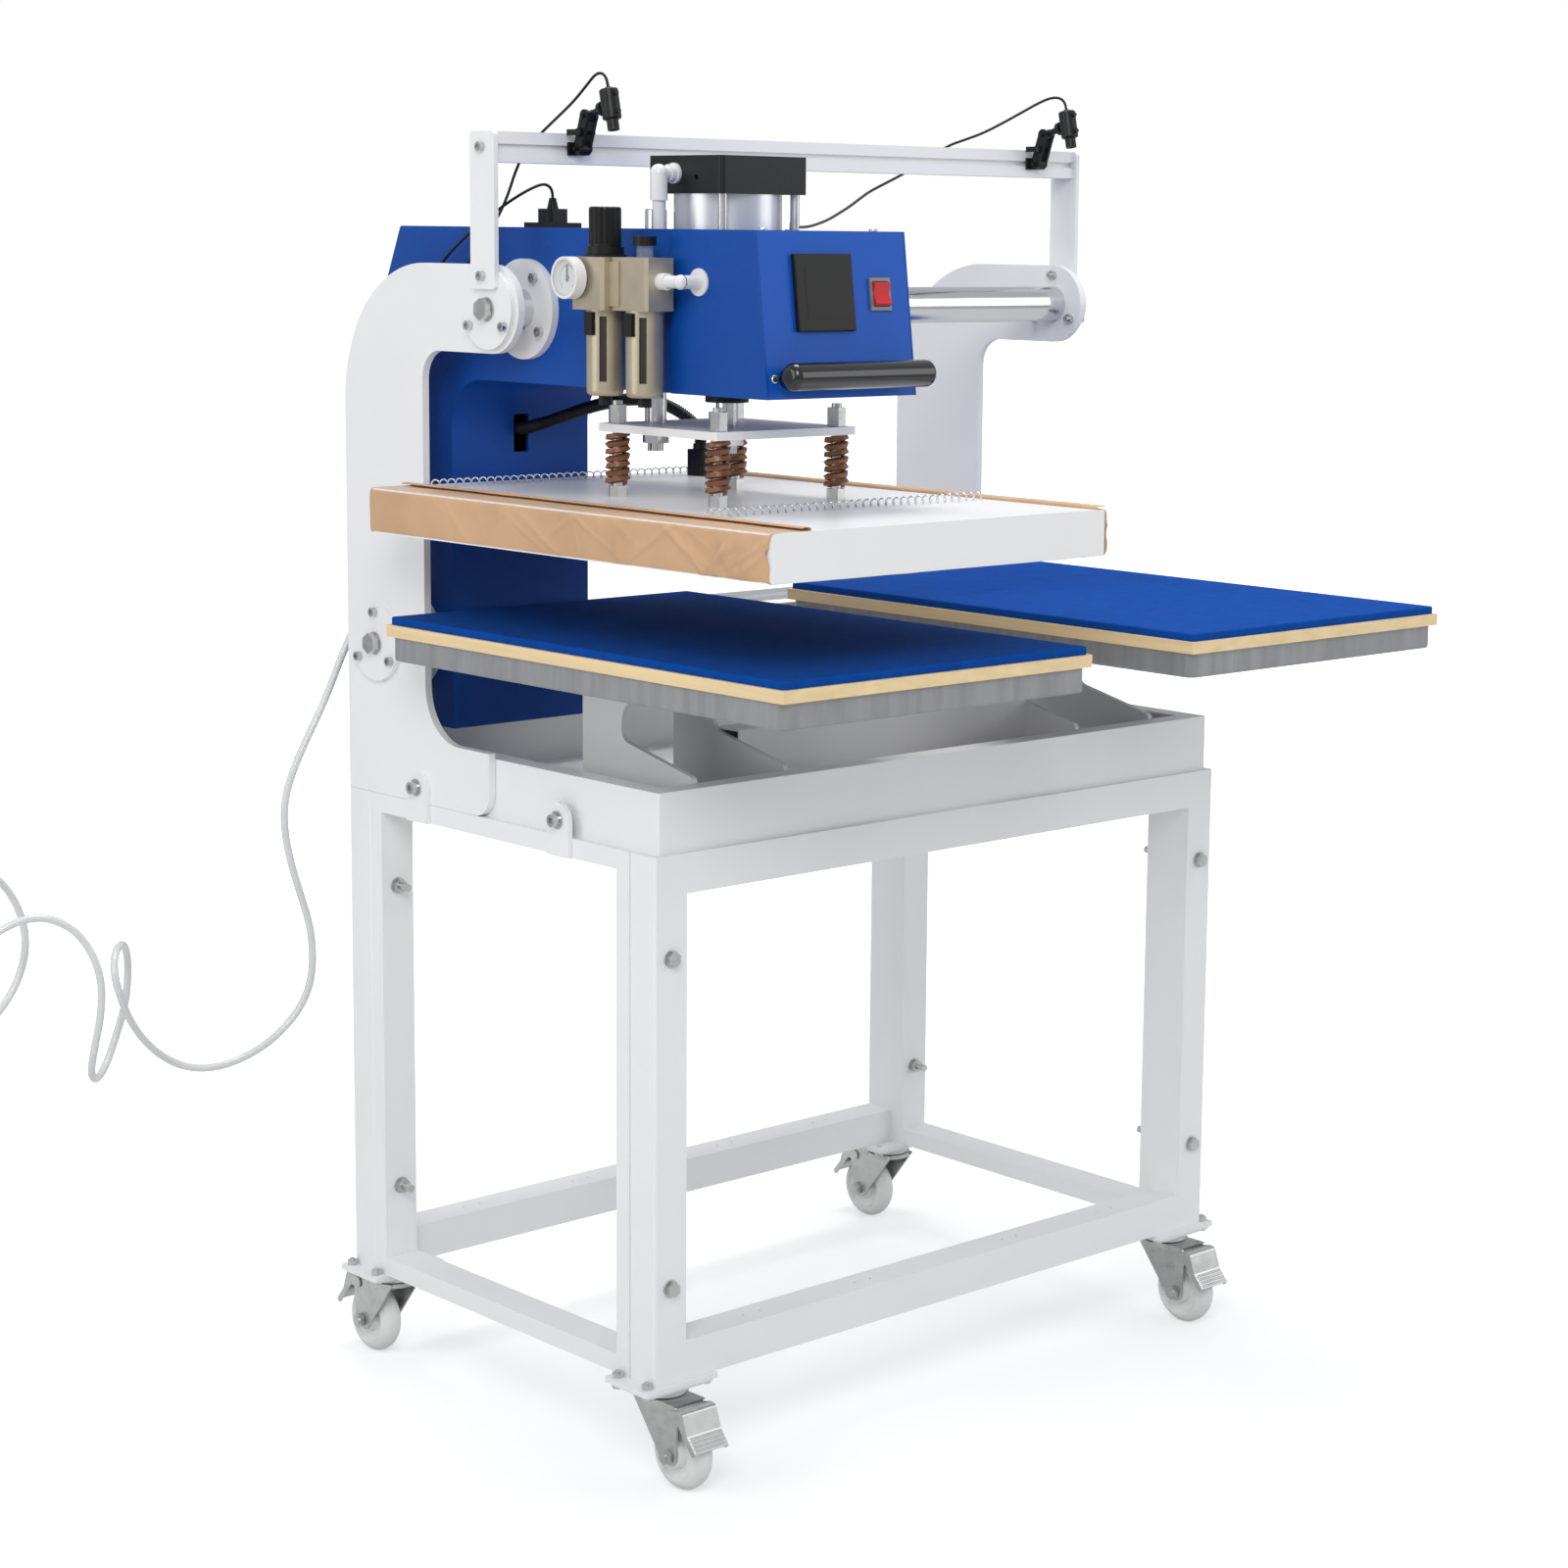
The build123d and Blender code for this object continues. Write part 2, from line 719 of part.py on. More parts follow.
# Laser pointers: clamp lugs on the bar, a tilting arm and a tilting lamp
bar_face = arm_y - laser_bar_depth / 2
lower_pivot = (bar_face - laser_arm_radius - laser_clamp_thickness - 1, bar_z)
lean = math.radians(laser_arm_lean)
upper_pivot = (lower_pivot[0] - laser_arm_length * math.sin(lean),
               lower_pivot[1] + laser_arm_length * math.cos(lean))
clamps = []
for index, x in enumerate(laser_x):
    name = ("left", "right")[index]
    y, z = lower_pivot
    half = laser_arm_gap / 2
    lug_half = half - fit_gap
    lug = bar("X", (x - lug_half, y, z), laser_arm_radius, 2 * lug_half)
    lug += block(x - lug_half, x + lug_half, y, bar_face, z - laser_arm_radius,
                 z + laser_arm_radius)
    lug += block(x - laser_clamp_width / 2, x + laser_clamp_width / 2,
                 bar_face - laser_clamp_thickness, bar_face,
                 z - laser_arm_radius, z + laser_arm_radius)
    lug -= bar("X", (x - 20, y, z), laser_pin_radius + fit_gap, 40)
    clamps.append(lug)
    outer_half = half + laser_arm_thickness
    plates = []
    for x0 in (x - outer_half, x + half):
        plate = bar("X", (x0, y, z), laser_arm_radius, laser_arm_thickness)
        plate += bar("X", (x0, *upper_pivot), laser_arm_radius, laser_arm_thickness)
        middle = ((y + upper_pivot[0]) / 2, (z + upper_pivot[1]) / 2)
        web = Box(laser_arm_thickness, 2 * laser_arm_radius - 1, laser_arm_length)
        place = Pos(x0 + laser_arm_thickness / 2, *middle) * Rot(laser_arm_lean, 0, 0)
        plate += place * web
        plates.append(plate)
    arm = plates[0] + plates[1]
    pin = bar("X", (x - outer_half - 4, y, z), laser_pin_radius, 2 * outer_half + 8)
    head = bar("X", (x + outer_half, y, z), 4, 3)
    middle_y, middle_z = (y + upper_pivot[0]) / 2, (z + upper_pivot[1]) / 2
    wing = bar("X", (x - outer_half - 4, middle_y, middle_z), 4, 4)
    wing += block(x - outer_half - 7, x - outer_half - 4, middle_y - 4, middle_y + 13,
                  middle_z - 3, middle_z + 3)
    wing += bar("X", (x - outer_half, middle_y, middle_z), 2, 2 * outer_half + 4)
    arm += pin + head + wing
    arm -= bar("X", (x - 20, *upper_pivot), laser_pin_radius + fit_gap, 40)
    write(name + "_laser_arm", [arm])
    up_y, up_z = upper_pivot
    hub = bar("X", (x - lug_half, up_y, up_z), laser_arm_radius - 1, 2 * lug_half)
    pin = bar("X", (x - outer_half - 3, up_y, up_z), laser_pin_radius, 2 * outer_half + 6)
    lamp_y, lamp_z = up_y - laser_reach, up_z + laser_lift
    neck_length = math.hypot(laser_reach, laser_lift)
    along = (0, -laser_reach / neck_length, laser_lift / neck_length)
    neck = toward((x, up_y, up_z), along, bar("Z", (0, 0, 0), laser_neck_radius, neck_length))
    collar = bar("Z", (0, 0, neck_length - laser_body_radius - 6), laser_neck_radius * 2, 5)
    neck += toward((x, up_y, up_z), along, collar)
    body = bar("Z", (0, 0, -laser_body_length / 2), laser_body_radius, laser_body_length)
    body = chamfer(body.edges().filter_by(GeomType.CIRCLE), 1)
    nozzle_z = -laser_body_length / 2 - laser_nozzle_length
    nozzle = bar("Z", (0, 0, nozzle_z), laser_nozzle_radius, laser_nozzle_length)
    body += nozzle - bar("Z", (0, 0, nozzle_z - 1), laser_nozzle_radius - 2, 6)
    body += bar("Z", (0, 0, laser_body_length / 2), 3.2, 2)
    for drop in (-9, 9):
        body += bar("Y", (0, -laser_body_radius - 3, drop), 2.5, 6)
    lamp = hub + pin + neck + Pos(x, lamp_y, lamp_z) * Rot(-laser_lean, 0, 0) * body
    write(name + "_laser", [lamp])
write("laser_bar", [laser_bar] + clamps)


# Casters: mounting plates and races fixed under the legs
caster_x = half_width + foot_plate_out - foot_plate_width / 2
caster_front_y = deep(foot_plate_depth / 2 - foot_plate_forward)
caster_back_y = deep(stand_depth - foot_plate_depth / 2 + foot_plate_forward)
corners = {
    "front_left": (-caster_x, caster_front_y, 180),
    "front_right": (caster_x, caster_front_y, 180),
    "back_left": (-caster_x, caster_back_y, 0),
    "back_right": (caster_x, caster_back_y, 0),
}
plate_top_z = leg_bottom_z
zinc_z = plate_top_z - foot_plate_thickness
race_z = zinc_z - caster_plate_thickness
fork_z = race_z - raceway_height
axle_z = wheel_radius
caster_plates = []
for x, y, turn in corners.values():
    place = Pos(x, y, 0)
    half_x, half_y = foot_plate_width / 2, foot_plate_depth / 2
    foot = block(-half_x, half_x, -half_y, half_y, zinc_z, plate_top_z)
    foot = fillet(foot.edges().filter_by(Axis.Z), 5)
    zinc = block(-half_x + 4, half_x - 4, -half_y + 2, half_y - 2, race_z, zinc_z)
    zinc = fillet(zinc.edges().filter_by(Axis.Z), 6)
    race = Pos(0, 0, race_z) * Cone(raceway_radius, raceway_radius - 6, raceway_height - 1,
                                    align=(Align.CENTER, Align.CENTER, Align.MAX))
    zinc += race
    zinc += bar("Z", (0, 0, fork_z - 6), kingpin_radius, raceway_height + 6)
    for dx in (-caster_hole_x / 2, caster_hole_x / 2):
        for dy in (-caster_hole_y / 2, caster_hole_y / 2):
            hole = bar("Z", (dx, dy, race_z - 1), caster_bolt_radius + fit_gap, 12)
            foot -= hole
            zinc -= hole
            outside = abs(x + dx) > half_width
            top = plate_top_z + (7 if outside else 0)
            screw = bar("Z", (dx, dy, race_z), caster_bolt_radius, top - race_z)
            screw += bar("Z", (dx, dy, race_z - 3), caster_bolt_radius * 1.8, 3)
            caster_plates.append(place * screw)
            if outside:
                nut = Pos(dx, dy, plate_top_z) * hex_nut(caster_bolt_radius, 5.8, 5)
                caster_plates.append(place * nut)
    caster_plates += [place * foot, place * zinc]
write("caster_plates", caster_plates)


# Caster fork with its axle, modelled trailing to the back at the swivel axis
def fork_body():
    inner, t = fork_inner_width / 2, fork_thickness
    crown = bar("Z", (0, 0, fork_z - fork_crown_height), raceway_radius + 2, fork_crown_height)
    crown -= bar("Z", (0, 0, fork_z - 8), kingpin_radius + axle_gap, 10)
    crown += block(-inner - t, inner + t, 0, fork_reach, fork_z - t, fork_z)
    crown -= bar("Z", (0, 0, fork_z - 8), kingpin_radius + axle_gap, 10)
    legs = []
    for x0 in (-inner - t, inner):
        points = [(-raceway_radius, fork_z), (fork_reach, fork_z),
                  (fork_reach + 4, fork_z - 18), (caster_trail + 13, fork_z - 22),
                  (caster_trail + 9, axle_z - 9), (caster_trail - 9, axle_z - 9)]
        leg = side_plate(points, [0, 4, 4, 6, 8, 8], x0, t)
        leg -= bar("X", (x0 - 1, caster_trail, axle_z), caster_axle_radius + axle_gap, t + 2)
        pivot_y, pivot_z = fork_reach - 5, fork_z - 12
        leg -= bar("X", (x0 - 1, pivot_y, pivot_z), pedal_pin_radius + fit_gap, t + 2)
        legs.append(leg)
    fork = crown + legs[0] + legs[1]
    span = 2 * inner + 2 * t
    axle = bar("X", (-span / 2 - 7, caster_trail, axle_z), caster_axle_radius, span + 14)
    head = hexagon_bar((-span / 2 - 6, caster_trail, axle_z), 8, 5.5)
    nut = hexagon_bar((span / 2 + 0.3, caster_trail, axle_z), 8, 6)
    nut -= bar("X", (span / 2 - 1, caster_trail, axle_z), caster_axle_radius + thread_gap, 9)
    return [fork, axle + head, nut]


def hexagon_bar(start, across_radius, length):
    """Hexagonal prism from a point along X"""
    prism = extrude(RegularPolygon(across_radius, 6), amount=length)
    return Pos(*start) * Rot(0, 90, 0) * prism


def wheel_body():
    half, hub_half = wheel_width / 2, wheel_hub_width / 2
    bore = caster_axle_radius + axle_gap
    with BuildPart() as wheel:
        with BuildSketch(Plane.XZ):
            with BuildLine():
                Polyline((-hub_half, bore), (-hub_half, wheel_hub_radius),
                         (-half + 5, wheel_hub_radius + 2), (-half + 4, wheel_radius - 13),
                         (-half, wheel_radius - 10))
                ThreePointArc((-half, wheel_radius - 10), (0, wheel_radius),
                              (half, wheel_radius - 10))
                Polyline((half, wheel_radius - 10), (half - 4, wheel_radius - 13),
                         (half - 5, wheel_hub_radius + 2), (hub_half, wheel_hub_radius),
                         (hub_half, bore), (-hub_half, bore))
            make_face()
        revolve(axis=Axis.X)
    return Pos(0, caster_trail, axle_z) * wheel.part


def pedal_body():
    """Brake pedal: two ears outside the fork and a ribbed tread in front of the wheel"""
    inner = fork_inner_width / 2 + fork_thickness + 0.6
    t = pedal_sheet
    y, z = fork_reach - 5, fork_z - 12
    points = [(y - 5, z - 5), (y - 5, z + 5), (y + 11, z + 10), (y + 19, z + 9),
              (y + 27, z - 13), (y + 39, z - 27), (y + 35, z - 32), (y + 22, z - 17),
              (y + 12, z - 4)]
    radii = [4, 4, 3, 4, 6, 2, 2, 5, 4]
    ears = []
    for x0 in (-inner - t, inner):
        ears.append(side_plate(points, radii, x0, t))
    tread_points = [(y + 11, z + 10), (y + 19, z + 9), (y + 27, z - 13), (y + 39, z - 27),
                    (y + 37.4, z - 28.4), (y + 25.2, z - 14.2), (y + 17.6, z + 7),
                    (y + 10.7, z + 7.9)]
    tread = side_plate(tread_points, [0, 4, 6, 0, 0, 6, 3, 0], -inner - t, 2 * inner + 2 * t)
    for step in (0.15, 0.38, 0.61, 0.84):
        rib_y, rib_z = y + 27 + 12 * step, z - 13 - 14 * step
        tread += bar("X", (-inner, rib_y, rib_z), 1.3, 2 * inner)
    pin = bar("X", (-inner - t, y, z), pedal_pin_radius, 2 * inner + 2 * t)
    return ears[0] + ears[1] + tread + pin


for name, (x, y, turn) in corners.items():
    place = Pos(x, y, 0) * Rot(0, 0, turn)
    write("fork_" + name, [place * piece for piece in fork_body()])
    write("wheel_" + name, [place * wheel_body()])
    write("brake_pedal_" + name, [place * pedal_body()])


# Head: a hollow arm and column with a wider control box at its front
head_top_z = rise(head_top_rise)
arm_under_z = head_top_z - head_arm_height
head_bottom_z = rise(head_column_bottom_rise)
panel_top_y, panel_bottom_y = deep(panel_top_depth), deep(panel_bottom_depth)
box_y = deep(box_back_depth)
press_y = deep(press_depth)


def head_outline(inset):
    """Side outline of the arm and column, drawn in by an inset"""
    back, column = deep(head_back) - inset, deep(head_column_front) + inset
    top, under = head_top_z - inset, arm_under_z + inset
    slant_y, slant_z = back - head_slant_depth, top - head_slant_height
    front, bottom = box_y + inset, head_bottom_z + inset
    points = [(front, top), (slant_y, top), (back, slant_z), (back, bottom),
              (column, bottom), (column, under), (front, under)]
    return points, [0, 4, 4, 0, 0, head_corner_radius + inset, 0]


points, radii = head_outline(0)
head = side_plate(points, radii, head_left_x, head_width)
points, radii = head_outline(head_wall)
head -= side_plate(points, radii, head_left_x + head_wall, head_width - 2 * head_wall)

box_left, box_right = head_x - box_width / 2, head_x + box_width / 2
points = [(box_y, head_top_z), (panel_top_y, head_top_z), (panel_bottom_y, arm_under_z),
          (box_y, arm_under_z)]
box = side_plate(points, [0, 0, 0, 0], box_left, box_width)
w = box_wall
box -= block(box_left + w, box_right - w, panel_bottom_y - 1, box_y + 1,
             arm_under_z + w, head_top_z - w)
flange_end = panel_top_y + panel_flange + fit_gap
box -= block(box_left + w, box_right - w, panel_bottom_y - 1, flange_end,
             head_top_z - w - 1, head_top_z + 1)
box += block(box_left, box_right, box_y - w, box_y + w, arm_under_z, head_top_z)
passage = block(head_left_x + 12, head_right_x - 12, box_y - w - 1, box_y + head_wall + 1,
                arm_under_z + head_wall, head_top_z - head_wall)
head = head + box - passage

cap_half = cylinder_cap_size / 2
well = cap_half + 1
head -= block(head_x - well, head_x + well, press_y - well, press_y + well,
              head_top_z - head_wall - 1, head_top_z + 1)
guide_x, guide_y = head_x - guide_rod_left, press_y + guide_rod_behind
head -= bar("Z", (guide_x, guide_y, head_top_z - head_wall - 1), guide_rod_radius + 1.5,
            head_wall + 2)
floor_hole = bar("Z", (head_x, press_y, arm_under_z - 1), piston_rod_radius + 3, head_wall + 2)
head -= floor_hole
head -= bar("Z", (guide_x, guide_y, arm_under_z - 1), guide_bush_radius + fit_gap,
            head_wall + 2)
for y, z in ((arm_y, arm_z), (lower_y, lower_z)):
    head -= bar("X", (head_left_x - 1, y, z), bearing_sleeve_radius + fit_gap, head_width + 2)
slot_half = conduit_slot_width / 2
slot_top = rise(conduit_slot_top_rise)
head -= block(head_x - slot_half, head_x + slot_half, deep(head_column_front) - 1,
              deep(head_column_front) + head_wall + 1,
              slot_top - conduit_slot_height, slot_top)
grommet_y, grommet_z = deep(grommet_depth), rise(grommet_rise)
head -= bar("X", (box_left - 1, grommet_y, grommet_z), grommet_radius, box_wall + 2)
inlet_x, inlet_z = head_x - hose_inlet_left, rise(hose_inlet_rise)
head -= bar("Y", (inlet_x, deep(head_back) - head_wall - 1, inlet_z),
            hose_inlet_radius + fit_gap, head_wall + 2)


# Flange bearings on both shafts, each with four screws
bearings = []
head_fasteners = []
for y, z in ((arm_y, arm_z), (lower_y, lower_z)):
    for side, face in ((-1, head_left_x), (1, head_right_x)):
        flange_x = face - bearing_flange_thickness if side < 0 else face
        sleeve_x = face if side < 0 else face - bearing_sleeve_length
        bearing = bar("X", (flange_x, y, z), bearing_flange_radius, bearing_flange_thickness)
        bearing += bar("X", (sleeve_x, y, z), bearing_sleeve_radius, bearing_sleeve_length)
        reach = bearing_flange_thickness + bearing_sleeve_length
        bore_x = min(flange_x, sleeve_x) - 1
        bearing -= bar("X", (bore_x, y, z), shaft_radius + running_gap, reach + 2)
        for turn in (55, 145, 235, 325):
            dy = -bearing_bolt_circle * math.cos(math.radians(turn))
            dz = bearing_bolt_circle * math.sin(math.radians(turn))
            seat_x = face + side * bearing_flange_thickness
            inner_x = face - side * head_wall
            length = bearing_flange_thickness + head_wall + 8
            hole_x = min(seat_x, inner_x) - 1
            hole = bar("X", (hole_x, y + dy, z + dz), bearing_bolt_radius + fit_gap,
                       bearing_flange_thickness + head_wall + 2)
            bearing -= hole
            head -= hole
            screw = socket_screw(bearing_bolt_radius, length)
            head_fasteners.append(toward((seat_x, y + dy, z + dz), (side, 0, 0), screw))
            nut = hex_nut(bearing_bolt_radius, 5.8, 5)
            head_fasteners.append(toward((inner_x, y + dy, z + dz), (-side, 0, 0), nut))
        bearings.append(bearing)
write("flange_bearings", bearings)


# Control panel that closes the front of the box, and its screen and switch
panel_length = math.hypot(panel_top_y - panel_bottom_y, head_arm_height)
panel_centre = (head_x, (panel_top_y + panel_bottom_y) / 2, (head_top_z + arm_under_z) / 2)
panel_out = (0, -head_arm_height / panel_length, (panel_top_y - panel_bottom_y) / panel_length)
panel_plane = Plane(origin=panel_centre, x_dir=(1, 0, 0), z_dir=panel_out)
panel_half = box_width / 2 - box_wall - fit_gap


def on_panel(from_left, from_top, shape):
    """Shape placed on the panel's face, its Z pointing out of the panel"""
    across = from_left - box_width / 2
    up = panel_length / 2 - from_top
    return panel_plane * (Pos(across, up, 0) * shape)


def centred_box(width, height, z0, z1):
    return Pos(0, 0, (z0 + z1) / 2) * Box(width, height, z1 - z0)


w = panel_thickness
points = [(panel_top_y, head_top_z), (panel_bottom_y, arm_under_z),
          (panel_bottom_y + panel_foot, arm_under_z),
          (panel_bottom_y + panel_foot, arm_under_z + w),
          (panel_bottom_y + w, arm_under_z + w), (panel_top_y + w, head_top_z - w),
          (panel_top_y + panel_flange, head_top_z - w),
          (panel_top_y + panel_flange, head_top_z)]
panel = side_plate(points, [0] * 8, head_x - panel_half, 2 * panel_half)
foot_cut = block(box_left + box_wall, box_right - box_wall, panel_bottom_y - 1,
                 panel_bottom_y + panel_foot + fit_gap, arm_under_z - 1, arm_under_z + w + 1)
head -= foot_cut
screen_u, screen_v = screen_from_left + screen_size / 2, screen_from_top + screen_size / 2
screen_body = screen_size - 5
panel -= on_panel(screen_u, screen_v,
                  centred_box(screen_body + 0.6, screen_body + 0.6, -w - 5, 1))
switch_u = box_width - bezel_from_right
switch_body = rocker_width + 2.4
switch_body_height = 2 * rocker_radius + 3.2
panel -= on_panel(switch_u, bezel_from_top,
                  centred_box(switch_body + 0.6, switch_body_height + 0.6, -w - 5, 1))
handle_v = panel_length - handle_from_bottom
for shift in (-handle_leg_spacing / 2, handle_leg_spacing / 2):
    hole = Pos(0, 0, -w - 5) * bar("Z", (0, 0, 0), handle_screw_radius + fit_gap, w + 6)
    panel -= on_panel(box_width / 2 + shift, handle_v, hole)
    screw = bar("Z", (0, 0, -w - 5), handle_screw_radius * 1.7, 5)
    screw += bar("Z", (0, 0, -w - 1), handle_screw_radius, w + 13)
    head_fasteners.append(on_panel(box_width / 2 + shift, handle_v, screw))
for shift in (-flange_screw_spacing / 2, flange_screw_spacing / 2):
    spot = (head_x + shift, panel_top_y + panel_flange / 2, head_top_z)
    panel -= bar("Z", (spot[0], spot[1], head_top_z - w - 1), 2 + fit_gap, w + 2)
    head_fasteners.append(Pos(*spot) * button_screw(2, w + 7, 4.2))
panel -= on_panel(panel_screw_left, handle_v, bar("Z", (0, 0, -w - 1), 2 + fit_gap, w + 2))
head_fasteners.append(on_panel(panel_screw_left, handle_v, button_screw(2, w + 7, 4.2)))
write("control_panel", [panel])
tube_x, tube_y = head_x - cap_half - air_tube_out, press_y + cap_port_behind
head -= bar("Z", (tube_x, tube_y, head_top_z - head_wall - 1), air_tube_radius + 1,
            head_wall + 2)
gland_x, gland_y = head_x + cable_gland_right, deep(cable_gland_depth)
head -= bar("Z", (gland_x, gland_y, head_top_z - head_wall - 1), cable_gland_radius + fit_gap,
            head_wall + 2)
write("head_frame", [head])

screen = centred_box(screen_size, screen_size, 0, screen_thickness)
screen = fillet(screen.faces().sort_by(Axis.Z)[-1].edges(), 1)
screen += centred_box(screen_body, screen_body, -screen_depth, 0)
display = centred_box(display_width, display_height, screen_thickness - 1, screen_thickness + 0.2)
screen -= centred_box(display_width, display_height, screen_thickness - 1, screen_thickness + 2)
write("touch_screen", [on_panel(screen_u, screen_v, screen),
                       on_panel(screen_u, screen_v, display)])

bezel = centred_box(bezel_width, bezel_height, 0, bezel_thickness)
bezel += centred_box(switch_body, switch_body_height, -switch_depth, 0)
mouth = centred_box(rocker_width + 0.6, 2 * rocker_radius + 0.8, -rocker_radius - 1, 9)
pivot = bar("X", (-rocker_width / 2 - 0.9, 0, 0), 1.5, rocker_width + 1.8)
socket = bar("X", (-rocker_width / 2 - 1, 0, 0), 1.55, rocker_width + 2)
write("switch_bezel", [on_panel(switch_u, bezel_from_top, bezel - mouth - socket)])

rocker = bar("X", (-rocker_width / 2, 0, 0), rocker_radius, rocker_width)
r = rocker_radius + 1
keep = Polyline((-r, -4), (r, -4), (r, 7.6), (0, 3.2), (-r, 7.6), close=True)
keep = extrude(Plane.YZ * make_face(keep), amount=rocker_width / 2, both=True)
rocker = (rocker & keep) + pivot
write("switch_rocker", [on_panel(switch_u, bezel_from_top, rocker)])


# Handle: a thick bar on two legs below the screen
grip = bar("X", (-handle_length / 2, 0, handle_standoff), handle_radius, handle_length)
grip = fillet(grip.edges().filter_by(GeomType.CIRCLE), handle_radius * 0.55)
for shift in (-handle_leg_spacing / 2, handle_leg_spacing / 2):
    leg = bar("Z", (shift, 0, 0), handle_leg_radius, handle_standoff)
    leg -= bar("Z", (shift, 0, -1), handle_screw_radius + fit_gap, 16)
    grip = grip + leg
    grip -= bar("Z", (shift, 0, -1), handle_screw_radius + fit_gap, 16)
write("handle", [on_panel(box_width / 2, handle_v, grip)])
write("head_fasteners", head_fasteners)


# Air cylinder in the head: caps, barrel, tie rods and the bushes under it
foot_z = arm_under_z + head_wall
cap_top_z = rise(cylinder_top_rise)
cap_z = cap_top_z - cylinder_cap_height
barrel_z = foot_z + cylinder_foot_height


def square_cap(z0, height):
    body = block(head_x - cap_half, head_x + cap_half, press_y - cap_half,
                 press_y + cap_half, z0, z0 + height)
    return fillet(body.edges().filter_by(Axis.Z), cylinder_cap_corner)


upper_cap = square_cap(cap_z, cylinder_cap_height)
lower_cap = square_cap(foot_z, cylinder_foot_height)
lower_cap -= bar("Z", (head_x, press_y, foot_z - 1), piston_rod_radius + running_gap,
                 cylinder_foot_height + 2)
port_z = cap_top_z - cap_port_drop
port_y = press_y + cap_port_behind
upper_cap -= bar("X", (head_x - cap_half - 1, port_y, port_z), fitting_thread_radius + thread_gap, 16)
upper_cap -= bar("X", (head_x - cap_half - 1, press_y - 18, port_z - 4), 2.6, 9)
cap_solids = [upper_cap, lower_cap]
half = tie_rod_spacing / 2
for dx in (-half, half):
    for dy in (-half, half):
        length = cap_z - barrel_z + 2 * tie_rod_thread
        spot = (head_x + dx, press_y + dy, barrel_z - tie_rod_thread)
        hole = bar("Z", spot, tie_rod_radius + thread_gap, length)
        cap_solids[0] -= hole
        cap_solids[1] -= hole
        cap_solids.append(bar("Z", spot, tie_rod_radius, length))
flange = bar("Z", (head_x, press_y, arm_under_z - bush_flange_thickness), bush_flange_radius,
             bush_flange_thickness)
flange -= bar("Z", (head_x, press_y, arm_under_z - bush_flange_thickness - 1),
              piston_rod_radius + running_gap, bush_flange_thickness + 2)
guide_bush = bar("Z", (guide_x, guide_y, arm_under_z - 3), guide_bush_radius, guide_bush_length)
guide_bush += bar("Z", (guide_x, guide_y, foot_z), guide_bush_radius + 4, 5)
guide_bush -= bar("Z", (guide_x, guide_y, arm_under_z - 9), guide_rod_radius + running_gap,
                  guide_bush_length + 20)
barrel = ring("Z", (head_x, press_y, barrel_z), cylinder_barrel_radius, cylinder_bore_radius,
              cap_z - barrel_z)
write("air_cylinder", cap_solids + [barrel, flange, guide_bush])


# Press: piston with its rod, a guide rod and the plate that they push
plate_z = rise(plate_bottom_rise)
plate_top_z2 = plate_z + plate_thickness
piston_top = cap_z - 2
rod = bar("Z", (head_x, press_y, piston_top - piston_thickness),
          cylinder_bore_radius - running_gap, piston_thickness)
rod += bar("Z", (head_x, press_y, plate_top_z2), piston_rod_radius,
           piston_top - piston_thickness - plate_top_z2)
thread_end = plate_z - rod_thread_length
rod += bar("Z", (head_x, press_y, thread_end), piston_thread_radius, plate_top_z2 - thread_end)
rod_nut = Pos(head_x, press_y, plate_z - rod_nut_height)
rod_nut = rod_nut * hex_nut(piston_thread_radius, 17.3, rod_nut_height)
write("piston_rod", [rod, rod_nut])

guide = bar("Z", (guide_x, guide_y, plate_top_z2), guide_rod_radius,
            rise(guide_rod_top_rise) - plate_top_z2)
guide = chamfer(guide.faces().sort_by(Axis.Z)[-1].edges(), 1)
guide += bar("Z", (guide_x, guide_y, thread_end), guide_rod_thread_radius,
             plate_top_z2 - thread_end)
guide_nut = Pos(guide_x, guide_y, plate_z - rod_nut_height)
guide_nut = guide_nut * hex_nut(guide_rod_thread_radius, 13.9, rod_nut_height)
write("guide_rod", [guide, guide_nut])

half = plate_size / 2
plate = block(head_x - half, head_x + half, press_y - half, press_y + half,
              plate_z, plate_top_z2)
plate = fillet(plate.edges().filter_by(Axis.Z), 3)
plate -= bar("Z", (head_x, press_y, plate_z - 1), piston_thread_radius + thread_gap,
             plate_thickness + 2)
plate -= bar("Z", (guide_x, guide_y, plate_z - 1), guide_rod_thread_radius + thread_gap,
             plate_thickness + 2)
half = spring_spacing / 2
spring_places = []
for dx in (-half, half):
    for dy in (-half, half):
        spring_places.append((head_x + dx, press_y + dy))
for x, y in spring_places:
    plate -= bar("Z", (x, y, plate_z - 1), platen_bolt_radius + 1, plate_thickness + 2)
write("press_plate", [plate])


# Heat platen: a heating plate and insulation under a sheet cover
platen_top_z = rise(heat_platen_top_rise)
sheet_z = platen_top_z - heat_platen_height
cover_half_x = heat_platen_width / 2
cover_half_y = heat_platen_length / 2
cover = slab(head_x, heat_platen_width, heat_platen_length, sheet_z, heat_platen_height, 6)
w = cover_wall
cover -= slab(head_x, heat_platen_width - 2 * w, heat_platen_length - 2 * w, sheet_z - 1,
              heat_platen_height - w + 1, 4)
element_width = heat_platen_width - 2 * element_margin
element_length = heat_platen_length - 2 * element_margin
element = slab(head_x, element_width, element_length, sheet_z, element_thickness, 3)
wool_z = sheet_z + element_thickness
wool = slab(head_x, element_width, element_length, wool_z,
            heat_platen_height - cover_wall - element_thickness, 3)
bolt_seat_z = platen_top_z + platen_bolt_head_height
bolts = []
